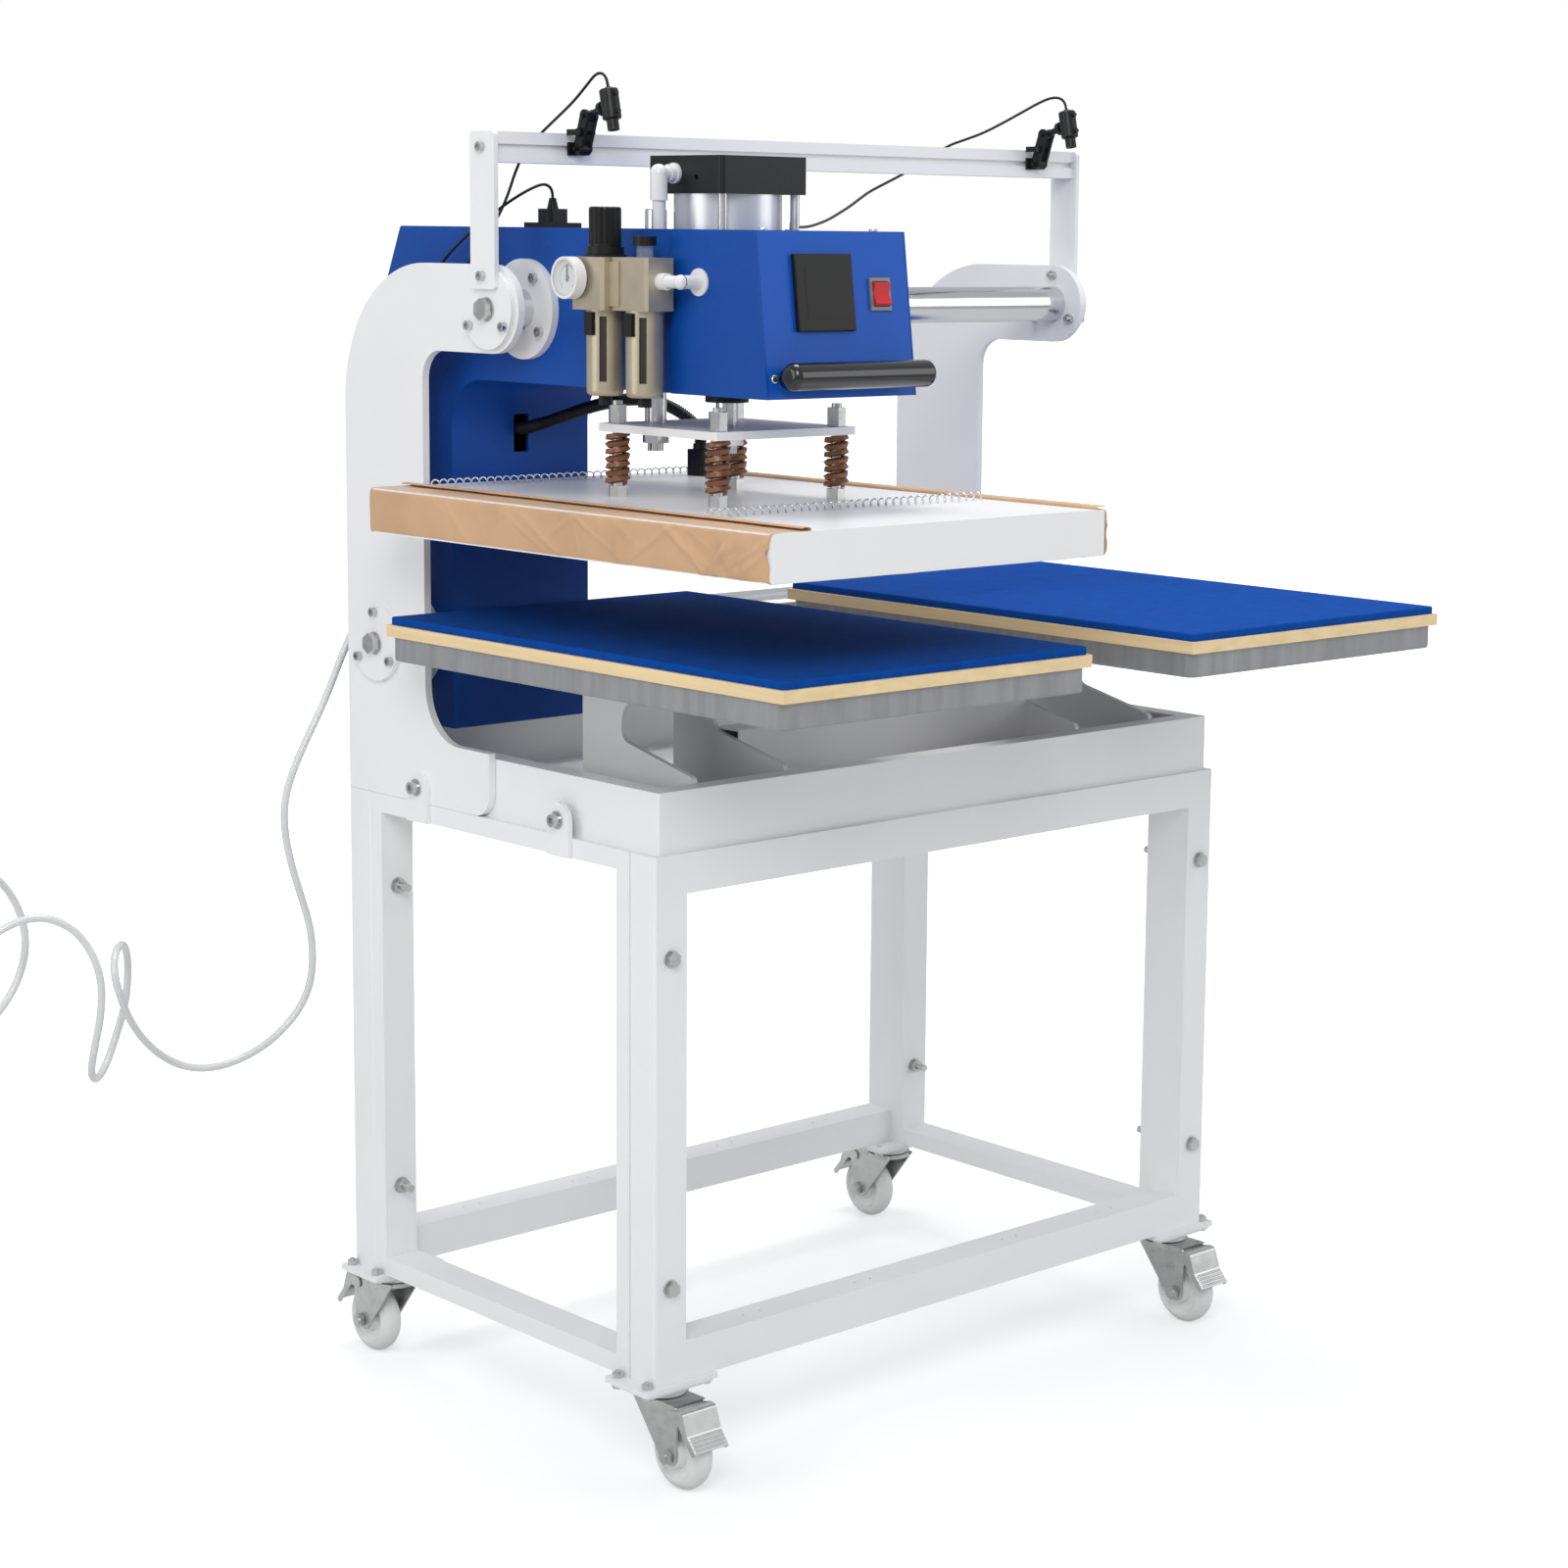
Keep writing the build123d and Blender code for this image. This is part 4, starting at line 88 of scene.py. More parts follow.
# Materials: two noises on Object coordinates vary the colour, the roughness and the surface
def makeMaterial(name, colour, roughness=0.4, metallic=0.0, tone=0.06, toneScale=6.0, grain=0.03,
                 grainScale=600.0, coat=0.0, stretch=(1, 1, 1), roughSpread=0.06, alpha=1.0,
                 transmission=0.0, sheen=0.0, specular=0.5):
    material = bpy.data.materials.new(name)
    material.use_nodes = True
    nodes, links = material.node_tree.nodes, material.node_tree.links
    shader = nodes["Principled BSDF"]
    coordinates = nodes.new("ShaderNodeTexCoord")
    mapping = nodes.new("ShaderNodeMapping")
    mapping.inputs["Scale"].default_value = stretch
    links.new(coordinates.outputs["Object"], mapping.inputs["Vector"])
    broad, fine = nodes.new("ShaderNodeTexNoise"), nodes.new("ShaderNodeTexNoise")
    broad.inputs["Scale"].default_value = toneScale
    broad.inputs["Detail"].default_value = 6
    fine.inputs["Scale"].default_value = grainScale
    fine.inputs["Detail"].default_value = 3
    for texture in (broad, fine):
        links.new(mapping.outputs["Vector"], texture.inputs["Vector"])
    ramp = nodes.new("ShaderNodeValToRGB")
    ramp.color_ramp.elements[0].position, ramp.color_ramp.elements[1].position = 0.3, 0.7
    ramp.color_ramp.elements[0].color = [c * (1 - tone) for c in colour] + [1]
    ramp.color_ramp.elements[1].color = [min(1, c * (1 + tone * 0.4)) for c in colour] + [1]
    links.new(broad.outputs["Fac"], ramp.inputs["Fac"])
    links.new(ramp.outputs["Color"], shader.inputs["Base Color"])
    spread = nodes.new("ShaderNodeMapRange")
    spread.inputs["To Min"].default_value = max(0.02, roughness - roughSpread)
    spread.inputs["To Max"].default_value = roughness + roughSpread
    links.new(broad.outputs["Fac"], spread.inputs["Value"])
    links.new(spread.outputs["Result"], shader.inputs["Roughness"])
    bump = nodes.new("ShaderNodeBump")
    bump.inputs["Strength"].default_value = grain
    bump.inputs["Distance"].default_value = 0.001
    links.new(fine.outputs["Fac"], bump.inputs["Height"])
    links.new(bump.outputs["Normal"], shader.inputs["Normal"])
    shader.inputs["Metallic"].default_value = metallic
    shader.inputs["Coat Weight"].default_value = coat
    shader.inputs["Coat Roughness"].default_value = 0.1
    shader.inputs["Alpha"].default_value = alpha
    shader.inputs["Transmission Weight"].default_value = transmission
    shader.inputs["Sheen Weight"].default_value = sheen
    shader.inputs["Specular IOR Level"].default_value = specular
    return material


finishes = {
    "powderWhite": makeMaterial("powderWhite", (0.86, 0.862, 0.868), 0.36, tone=0.025, grain=0.12,
                                grainScale=900),
    "platenWhite": makeMaterial("platenWhite", (0.85, 0.852, 0.856), 0.32, tone=0.03, grain=0.1,
                                grainScale=900),
    "headBlue": makeMaterial("headBlue", (0.002, 0.068, 0.36), 0.4, tone=0.1, grain=0.3, grainScale=850,
                             specular=0.22),
    "panelBlue": makeMaterial("panelBlue", (0.002, 0.085, 0.46), 0.34, tone=0.06, grain=0.15,
                              grainScale=900, specular=0.22),
    "foamBlue": makeMaterial("foamBlue", (0.001, 0.07, 0.38), 0.9, tone=0.16, toneScale=60, grain=0.9,
                             grainScale=1400, specular=0.12),
    "boardCream": makeMaterial("boardCream", (0.86, 0.66, 0.37), 0.55, tone=0.12, toneScale=40, grain=0.3,
                               grainScale=400, stretch=(1, 0.12, 3)),
    "castGrey": makeMaterial("castGrey", (0.33, 0.335, 0.345), 0.5, 0.35, tone=0.16, toneScale=70, grain=0.6,
                             grainScale=500, stretch=(1, 1, 0.12), roughSpread=0.1),
    "hardChrome": makeMaterial("hardChrome", (0.72, 0.72, 0.73), 0.16, 1.0, tone=0.05, grain=0.02,
                               grainScale=200),
    "zincPlate": makeMaterial("zincPlate", (0.62, 0.62, 0.61), 0.3, 1.0, tone=0.14, toneScale=70, grain=0.08,
                              roughSpread=0.1),
    "brightSteel": makeMaterial("brightSteel", (0.7, 0.7, 0.7), 0.24, 1.0, tone=0.1, grain=0.04),
    "springCopper": makeMaterial("springCopper", (0.25, 0.105, 0.05), 0.38, 0.35, tone=0.25, toneScale=90,
                                 grain=0.15),
    "barrelSilver": makeMaterial("barrelSilver", (0.72, 0.73, 0.75), 0.32, 0.75, tone=0.05, grain=0.05,
                                 stretch=(1, 1, 0.05)),
    "champagne": makeMaterial("champagne", (0.52, 0.46, 0.34), 0.34, 0.6, tone=0.1, toneScale=30, grain=0.12),
    "glossBlack": makeMaterial("glossBlack", (0.008, 0.008, 0.009), 0.14, tone=0.3, grain=0.02, coat=0.5),
    "satinBlack": makeMaterial("satinBlack", (0.012, 0.012, 0.013), 0.36, tone=0.3, grain=0.1, specular=0.25),
    "castBlack": makeMaterial("castBlack", (0.016, 0.016, 0.017), 0.32, tone=0.3, grain=0.15, specular=0.25),
    "displayGrey": makeMaterial("displayGrey", (0.06, 0.07, 0.085), 0.12, tone=0.2, grain=0.0, specular=0.3),
    "sightDark": makeMaterial("sightDark", (0.035, 0.03, 0.022), 0.12, tone=0.3, grain=0.0, coat=0.4),
    "bezelGrey": makeMaterial("bezelGrey", (0.2, 0.21, 0.22), 0.4, tone=0.08, grain=0.08),
    "rockerRed": makeMaterial("rockerRed", (0.62, 0.012, 0.01), 0.18, tone=0.1, grain=0.02, coat=0.4),
    "fittingWhite": makeMaterial("fittingWhite", (0.78, 0.78, 0.78), 0.25, tone=0.04, grain=0.03),
    "gaugeWhite": makeMaterial("gaugeWhite", (0.8, 0.8, 0.79), 0.3, tone=0.03, grain=0.02),
    "clearPlastic": makeMaterial("clearPlastic", (0.8, 0.83, 0.84), 0.12, tone=0.03, grain=0.0, alpha=0.16),
    "wheelWhite": makeMaterial("wheelWhite", (0.8, 0.8, 0.79), 0.35, tone=0.05, toneScale=20, grain=0.06),
    "sleeveTan": makeMaterial("sleeveTan", (0.62, 0.375, 0.2), 0.42, tone=0.12, toneScale=18, grain=0.35,
                              grainScale=1500, sheen=0.15),
    "hoseClear": makeMaterial("hoseClear", (0.8, 0.81, 0.81), 0.2, tone=0.05, toneScale=20, grain=0.02,
                              coat=0.3, transmission=0.2),
    "threadTan": makeMaterial("threadTan", (0.4, 0.21, 0.1), 0.7, tone=0.2, grain=0.3),
}
print("materials made")

# One finish for each CAD node that is shown as it is
nodeFinish = {
    "long_frames": "powderWhite", "end_frames": "powderWhite", "stand_fasteners": "zincPlate",
    "caster_plates": "powderWhite", "tray": "powderWhite", "side_plates": "powderWhite",
    "platen_brackets": "powderWhite", "lower_platens": "castGrey", "platen_boards": "boardCream",
    "guide_shafts": "hardChrome", "shaft_discs": "powderWhite", "laser_posts": "powderWhite",
    "laser_bar": "powderWhite", "head_frame": "headBlue", "control_panel": "panelBlue",
    "touch_screen": "satinBlack", "switch_bezel": "bezelGrey", "handle": "glossBlack",
    "flange_bearings": "powderWhite", "head_fasteners": "zincPlate", "air_cylinder": "castBlack",
    "filter_blocks": "champagne", "filter_bowls": "champagne", "pressure_gauge": "gaugeWhite",
    "air_fittings": "fittingWhite", "power_plug": "satinBlack", "switch_rocker": "rockerRed",
    "regulator_knob": "satinBlack", "gauge_needle": "satinBlack", "press_plate": "powderWhite",
    "piston_rod": "hardChrome", "guide_rod": "hardChrome", "press_springs": "springCopper",
    "heat_platen_cover": "platenWhite", "heating_plate": "castGrey", "sleeve_springs": "brightSteel",
    "platen_bolts": "zincPlate", "terminal_block": "satinBlack",
}
for corner in ("front_left", "front_right", "back_left", "back_right"):
    nodeFinish["fork_" + corner] = "zincPlate"
    nodeFinish["wheel_" + corner] = "wheelWhite"
    nodeFinish["brake_pedal_" + corner] = "zincPlate"
for side in ("left", "right"):
    nodeFinish[side + "_laser_arm"] = "satinBlack"
    nodeFinish[side + "_laser"] = "castBlack"


# Groups of faces that hang together, each with its box
def solidsOf(mesh):
    owner = {}
    parent = {}

    def root(key):
        while parent[key] != key:
            parent[key] = parent[parent[key]]
            key = parent[key]
        return key

    for face in mesh.polygons:
        keys = [tuple(round(c, 6) for c in mesh.vertices[v].co) for v in face.vertices]
        for key in keys:
            parent.setdefault(key, key)
        for key in keys[1:]:
            parent[root(keys[0])] = root(key)
        owner[face.index] = keys[0]
    groups = {}
    for index, key in owner.items():
        groups.setdefault(root(key), []).append(index)
    result = []
    for faces in groups.values():
        corners = [mesh.vertices[v].co for f in faces for v in mesh.polygons[f].vertices]
        low = Vector([min(c[i] for c in corners) for i in range(3)])
        high = Vector([max(c[i] for c in corners) for i in range(3)])
        result.append((faces, low, high))
    return result


# A finish for each solid of a CAD node, chosen from its size in millimetres
def paintSolids(node, choose):
    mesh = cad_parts[node].data
    names = [nodeFinish[node]]
    for faces, low, high in solidsOf(mesh):
        name = choose((high - low) * 1000)
        if name is None:
            continue
        if name not in names:
            names.append(name)
            mesh.materials.append(finishes[name])
        for index in faces:
            mesh.polygons[index].material_index = names.index(name)


for node, finish in nodeFinish.items():
    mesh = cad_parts[node].data
    mesh.materials.clear()
    mesh.materials.append(finishes[finish])

paintSolids("air_cylinder", lambda size: (
    "barrelSilver" if 100 < size.x < 107 else "zincPlate" if size.x < 12 else None))
paintSolids("filter_blocks", lambda size: (
    "satinBlack" if 38 < size.x < 45 and size.z < 16 else
    "clearPlastic" if size.x < 17 and size.y < 17 and size.z < 12 else
    "satinBlack" if size.x < 23 and size.z < 10 else None))
paintSolids("filter_bowls", lambda size: (
    "satinBlack" if size.x < 14 else "sightDark" if 28 < size.x < 33 else None))
paintSolids("touch_screen", lambda size: "displayGrey" if size.x < 60 else None)
paintSolids("pressure_gauge", lambda size: "clearPlastic" if size.x < 3 else None)
paintSolids("laser_bar", lambda size: "satinBlack" if size.x < 50 else None)
paintSolids("caster_plates", lambda size: "zincPlate" if size.x < 70 else None)
print("cad nodes finished")


# A free cord is a NURBS curve through the route of its tube
def makeCord(name, route, radius, finish):
    data = bpy.data.curves.new(name, "CURVE")
    data.dimensions = "3D"
    spline = data.splines.new("NURBS")
    spline.points.add(len(route) - 1)
    for point, spot in zip(spline.points, route):
        point.co = (*spot, 1)
    spline.order_u = 3
    spline.use_endpoint_u = True
    spline.resolution_u = 6
    data.bevel_depth = radius
    data.bevel_resolution = 3
    data.use_fill_caps = radius > 0
    cord = bpy.data.objects.new(name, data)
    scene.collection.objects.link(cord)
    if finish:
        data.materials.append(finishes[finish])
    return cord


leftCable = {
    "radius": 0.0015, "length": 1.02,
    "route": [
        (-312, 190.1, 1375.2), (-312, 191.7, 1382.7), (-312, 199, 1389), (-312, 210, 1388),
        (-313, 222, 1378), (-316, 241, 1361), (-322, 263, 1344), (-330, 280, 1328),
        (-340, 290, 1312), (-349, 293, 1293), (-358, 293, 1270), (-369, 296, 1246),
        (-380, 307, 1223), (-387, 325, 1199), (-389, 350, 1170), (-390, 376, 1134),
        (-389, 396, 1088), (-388, 408, 1042), (-387, 419, 998), (-386, 438, 967),
        (-384, 458, 956), (-382, 478, 963), (-381, 491, 984), (-380, 496, 1014),
        (-379, 490, 1052), (-378, 475, 1090), (-379, 452, 1128), (-378, 424, 1162),
        (-377, 393, 1192), (-374, 362, 1217), (-365, 336, 1238), (-350, 320, 1255),
        (-332, 313, 1268), (-314, 311, 1277), (-300, 312, 1281), (-291, 313, 1279),
        (-287, 313, 1273), (-287, 313, 1267),
    ],
}
rightCable = {
    "radius": 0.0015, "length": 0.68,
    "route": [
        (344, 190.1, 1375.2), (344, 191.7, 1382.7), (342, 199, 1388.5), (337, 209, 1388),
        (328, 219, 1382), (316, 229, 1373), (300, 243, 1361), (277, 254, 1348),
        (257, 264, 1340), (239, 273, 1333), (222, 281, 1321), (203, 284, 1311),
        (184, 281, 1303), (160, 273, 1296), (121, 255, 1287), (84, 236, 1279),
        (50, 214, 1271), (18, 196, 1262), (-14, 177, 1255), (-46, 156, 1249),
        (-75, 137, 1245), (-113, 112, 1241), (-146, 90, 1240), (-170, 70, 1241),
        (-185, 57, 1245), (-194, 49, 1246), (-198, 45, 1243), (-198, 45, 1238),
    ],
}
for name, cable in (("leftLaserCable", leftCable), ("rightLaserCable", rightCable)):
    route = [place(*spot) for spot in cable["route"]]
    piece = makeCord(name, route, cable["radius"], "satinBlack")
    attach(piece, "stand")
    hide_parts("laser_cables")

airHose = {
    "radius": 0.004, "length": 4.6, "coilRadius": 0.068, "coilLoops": 3, "coilStep": 0.0106,
    "pointsInTurn": 16,
    "route": [
        (-320, 540, 904.6), (-320, 540, 891), (-330, 541, 873), (-344, 542, 855),
        (-360, 543, 837), (-376, 544, 815), (-391, 546, 788), (-417, 549, 729),
        (-440, 550, 690), (-456, 551, 659), (-467, 551, 630), (-469, 551, 600),
        (-462, 552, 563), (-450, 552, 525), (-438, 551, 487), (-435, 550, 451),
        (-440, 550, 418), (-456, 552, 390), (-488, 556, 363), (-526, 562, 347),
        (-564, 566, 344), (-601, 564, 357), (-637, 555, 385), (-666, 540, 419),
        (-685, 526, 452), (-690, 527, 474), (-684, 537, 491), (-667, 556, 497),
        (-648, 579, 491), (-632, 601, 473), (-621, 620, 446), (-618, 632, 412), (-630, 635, 374),
        (-651, 620, 350), (-678, 592, 346), (-700, 563, 364), (-706, 542, 398),
        (-701, 536, 432), (-698, 538, 466), (-702, 548, 494), (-715, 555, 517),
        (-733, 561, 531), (-754, 567, 537), (-777, 573, 533), (-800, 580, 520),
        (-827, 588, 503), (-856, 597, 492), (-884, 607, 494), (-904, 618, 514),
        (-910, 629, 548), (-886, 639, 579), (-847, 645, 593), (-809, 648, 592),
        (-771, 650, 579), (-742, 651, 554), (-724, 652, 518), (-721, 652, 485),
        (-731, 650, 455), (-752, 646, 428), (-785, 641, 404), (-818, 637, 379),
        (-845, 635, 346), (-868, 641, 306), (-886, 650, 263), (-901, 664, 219),
        (-914, 677, 174), (-926, 686, 129), (-937, 690, 87), (-946, 686, 50),
        (-951.5, 674, 24), (-954.2, 657, 8.5), (-954.7, 638, 4.3), (-954.7, 612, 4.3),
    ],
}


# Turns of the put-away coil: inwards on the floor, up over half a turn, and outwards
def coilPoints(hose, last, before):
    way = (last - before).normalized()
    inward = Vector((-way.y, way.x, 0))
    start = last + way * 4 * hose["radius"] / 2
    centre = start + inward * hose["coilRadius"]
    loops, step, count = hose["coilLoops"], hose["coilStep"], hose["pointsInTurn"]
    spread = 1 / math.cos(math.pi / count)
    inside = hose["coilRadius"] - step * loops
    total = int((2 * loops + 0.5) * count)
    points = []
    for k in range(total + 1):
        turn = k / count
        if turn <= loops:
            radius, lift = hose["coilRadius"] - step * turn, 0
        elif turn <= loops + 0.5:
            radius, lift = inside, step * (turn - loops) * 2
        else:
            radius, lift = inside + step * (turn - loops - 0.5), step
        angle = 2 * math.pi * turn
        out = -inward * math.cos(angle) + way * math.sin(angle)
        points.append(centre + out * radius * (spread if 0 < k < total else 1) + Vector((0, 0, lift)))
    return points


route = [place(*spot) for spot in airHose["route"]]
route += coilPoints(airHose, route[-1], route[-2])[1:]
hosePiece = makeCord("airHose", route, airHose["radius"], "hoseClear")
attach(hosePiece, "stand")
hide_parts("air_hose", "air_hose_coil")
print("cords laid")


def meshObject(name, vertices, faces, finish, smooth=True):
    mesh = bpy.data.meshes.new(name)
    mesh.from_pydata([tuple(v) for v in vertices], [], faces)
    mesh.materials.append(finishes[finish])
    for polygon in mesh.polygons:
        polygon.use_smooth = smooth
    piece = bpy.data.objects.new(name, mesh)
    scene.collection.objects.link(piece)
    return piece


# Tube through points with a radius at each, on a frame carried along without twist
def tubeAlong(name, points, radii, sides, finish):
    vertices, faces = [], []
    across = Vector((0.5, 0.5, 0.7))
    for k, point in enumerate(points):
        way = (points[min(k + 1, len(points) - 1)] - points[max(k - 1, 0)]).normalized()
        across = (across - way * across.dot(way)).normalized()
        up = way.cross(across)
        for s in range(sides):
            angle = 2 * math.pi * s / sides
            vertices.append(point + (across * math.cos(angle) + up * math.sin(angle)) * radii[k])
    for k in range(len(points) - 1):
        for s in range(sides):
            a, b = k * sides + s, k * sides + (s + 1) % sides
            faces.append((a, b, b + sides, a + sides))
    faces.append(tuple(range(sides))[::-1])
    faces.append(tuple(range((len(points) - 1) * sides, len(points) * sides)))
    return meshObject(name, vertices, faces, finish)


# Ribbed conduit along its own NURBS line
conduitLook = {
    "radius": 0.006, "ribHeight": 0.0009, "ribs": 96, "length": 0.235, "sides": 20,
    "route": [
        (-272, 402, 1026), (-272, 384, 1027), (-267, 363, 1032), (-252, 346, 1040),
        (-229, 335, 1049), (-201, 330, 1055), (-172, 328, 1058), (-147, 322, 1056),
        (-127, 313, 1048), (-113, 302, 1036), (-107, 294, 1025), (-106, 292, 1017),
        (-106, 292, 1010.4),
    ],
}


# Evenly spaced points read from the route's NURBS line
def linePoints(route, spacing):
    line = makeCord("routeLine", route, 0, None)
    line.data.splines[0].resolution_u = 24
    mesh = bpy.data.meshes.new_from_object(line)
    spots = [v.co.copy() for v in mesh.vertices]
    bpy.data.objects.remove(line)
    points, travelled, target = [spots[0]], 0.0, spacing
    for a, b in zip(spots, spots[1:]):
        run = (b - a).length
        while run > 0 and travelled + run >= target:
            points.append(a.lerp(b, (target - travelled) / run))
            target += spacing
        travelled += run
    points.append(spots[-1])
    return points


def makeConduit(look):
    pitch = look["length"] / look["ribs"]
    points = linePoints([place(*spot) for spot in look["route"]], pitch / 4)
    heights = (0, 1, 1, 0)
    radii = [look["radius"] + look["ribHeight"] * heights[k % 4] for k in range(len(points))]
    piece = tubeAlong("conduitHose", points, radii, look["sides"], "satinBlack")
    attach(piece, "head")
    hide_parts("conduit")


makeConduit(conduitLook)
print("conduit made")

# Foam sheets on both lower platens
foamLook = {"edge": 0.0016, "corner": 0.004, "width": 0.391}


def makePad(name, low, high):
    edge = foamLook["edge"]
    vertices, faces = [], []
    levels = [(0, low.z), (0, high.z - edge), (edge * 0.3, high.z - edge * 0.3), (edge, high.z)]

    def outline(inset):
        spots = []
        corner = foamLook["corner"]
        centres = [(high.x - corner, high.y - corner, 0), (low.x + corner, high.y - corner, 90),
                   (low.x + corner, low.y + corner, 180), (high.x - corner, low.y + corner, 270)]
        for x, y, start in centres:
            for k in range(7):
                angle = math.radians(start + 15 * k)
                reach = corner - inset
                spots.append((x + reach * math.cos(angle), y + reach * math.sin(angle)))
        return spots

    for inset, z in levels:
        for x, y in outline(inset):
            vertices.append((x, y, z))
    count = 28
    for level in range(len(levels) - 1):
        for s in range(count):
            a, b = level * count + s, level * count + (s + 1) % count
            faces.append((a, b, b + count, a + count))
    faces.append(tuple(range(count))[::-1])
    faces.append(tuple(range((len(levels) - 1) * count, len(levels) * count)))
    piece = meshObject(name, vertices, faces, "foamBlue", smooth=False)
    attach(piece, "stand")
    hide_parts("platen_pads")


padLow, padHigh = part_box("platen_pads")
makePad("leftFoamSheet", padLow, Vector((padLow.x + foamLook["width"], padHigh.y, padHigh.z)))
makePad("rightFoamSheet", Vector((padHigh.x - foamLook["width"], padLow.y, padLow.z)), padHigh)
print("foam sheets made")

# Fabric sleeve round the heat platen: hemmed on both sides of the top, creased down its left side
sleeveLook = {
    "gap": 0.0004, "thickness": 0.0008, "hemLeft": 0.048, "hemRight": 0.012, "hemBand": 0.01,
    "hemRise": 0.002, "hemPuff": 0.0008, "rim": 0.0035, "rows": 300, "sideSteps": 20, "creases": 34,
    "frontPull": 0.003, "ripple": 0.0009,
}
stitchLook = {"spacing": 0.0062, "length": 0.0038, "radius": 0.00045, "seed": 3}


def straightRun(start, end, steps):
    return [(start[0] + (end[0] - start[0]) * k / steps, start[1] + (end[1] - start[1]) * k / steps)
            for k in range(1, steps + 1)]


# A hem band folded back over the cloth; side is 1 where the cloth runs on towards the left
def hemSection(look, edge, top, side):
    band, rise = look["hemBand"], look["hemRise"]
    points = []
    for k in range(7):
        share = k / 6
        puff = look["hemPuff"] * math.sin(math.pi * share)
        points.append((edge - side * band * (1 - share), top + rise + puff))
    for k in range(1, 6):
        angle = math.pi / 2 - math.pi * k / 6
        points.append((edge + side * math.cos(angle) * rise / 2, top + rise / 2 + math.sin(angle) * rise / 2))
    points.append((edge, top))
    return points


# Section from the left hem round the bottom to the right hem
def sleeveSection(look, low, high):
    gap, rim = look["gap"], look["rim"]
    left, right = low.x - gap, high.x + gap
    top, bottom = high.z + gap, low.z - gap
    points = hemSection(look, low.x + look["hemLeft"], top, 1)
    rounds = [(left + rim, top - rim, 90, 12), (left + rim, bottom + rim, 180, look["sideSteps"]),
              (right - rim, bottom + rim, 270, 40), (right - rim, top - rim, 0, look["sideSteps"])]
    for x, z, first, count in rounds:
        angles = [math.radians(first + turn) for turn in (0, 22.5, 45, 67.5, 90)]
        arc = [(x + rim * math.cos(angle), z + rim * math.sin(angle)) for angle in angles]
        points += straightRun(points[-1], arc[0], count) + arc[1:]
    return points + hemSection(look, high.x - look["hemRight"], top, -1)[::-1]


# Each crease is a soft ridge on a slant, and most of them lie near the front
def makeCreases(look, low, high):
    creases = []
    for _ in range(look["creases"]):
        far = random.random() ** 1.7
        creases.append({
            "y": low.y + 0.012 + far * 0.56, "z": random.uniform(low.z, high.z),
            "slant": random.uniform(-2.2, 2.2), "width": random.uniform(0.0028, 0.0075),
            "reach": random.uniform(0.012, 0.034),
            "height": random.uniform(0.0008, 0.0034) * (1 - 0.55 * far),
        })
    return creases


def creaseHeight(creases, y, z):
    total = 0.0
    for crease in creases:
        rise = z - crease["z"]
        across = (y - crease["y"] - crease["slant"] * rise) / crease["width"]
        along = rise / crease["reach"]
        if abs(across) < 3 and abs(along) < 2.5:
            total += crease["height"] * math.exp(-across * across - along * along)
    return total


def makeSleeve(look):
    low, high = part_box("heat_platen_cover")
    section = sleeveSection(look, low, high)
    creases = makeCreases(look, low, high)
    vertices, faces = [], []
    middle, half = (low.z + high.z) / 2, (high.z - low.z) / 2
    for row in range(look["rows"] + 1):
        share = row / look["rows"]
        y = low.y + (high.y - low.y) * share
        pull = look["frontPull"] * max(0.0, 1 - share * 40)
        for x, z in section:
            wave = noise.noise(Vector((x * 6, y * 18, z * 30)))
            inwards = pull * (0.5 + noise.noise(Vector((x * 40, 3, z * 60))))
            outwards = 0.0
            if x < low.x or x > high.x:
                swell = max(0.0, 1 - ((z - middle) / half) ** 4)
                outwards = (creaseHeight(creases, y, z) + look["ripple"] * max(0.0, 0.6 + wave)) * swell
                outwards = -outwards if x < low.x else outwards * 0.5
            lift = look["ripple"] * max(0.0, wave) * 0.7 if z > high.z else 0.0
            drop = look["ripple"] * max(0.0, wave) * 0.6 if z < low.z else 0.0
            vertices.append((x + outwards, y + max(0.0, inwards), z + lift - drop))
    width = len(section)
    for row in range(look["rows"]):
        for k in range(width - 1):
            corner = row * width + k
            faces.append((corner, corner + 1, corner + 1 + width, corner + width))
    piece = meshObject("platenSleeve", vertices, faces, "sleeveTan")
    wall = piece.modifiers.new("wall", "SOLIDIFY")
    wall.thickness = look["thickness"]
    wall.offset = 1
    around = sum((Vector(b) - Vector(a)).length for a, b in zip(section, section[1:]))
    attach(piece, "heat_platen")
    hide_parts("platen_sleeve")
    return piece, (around, high.y - low.y), low, high


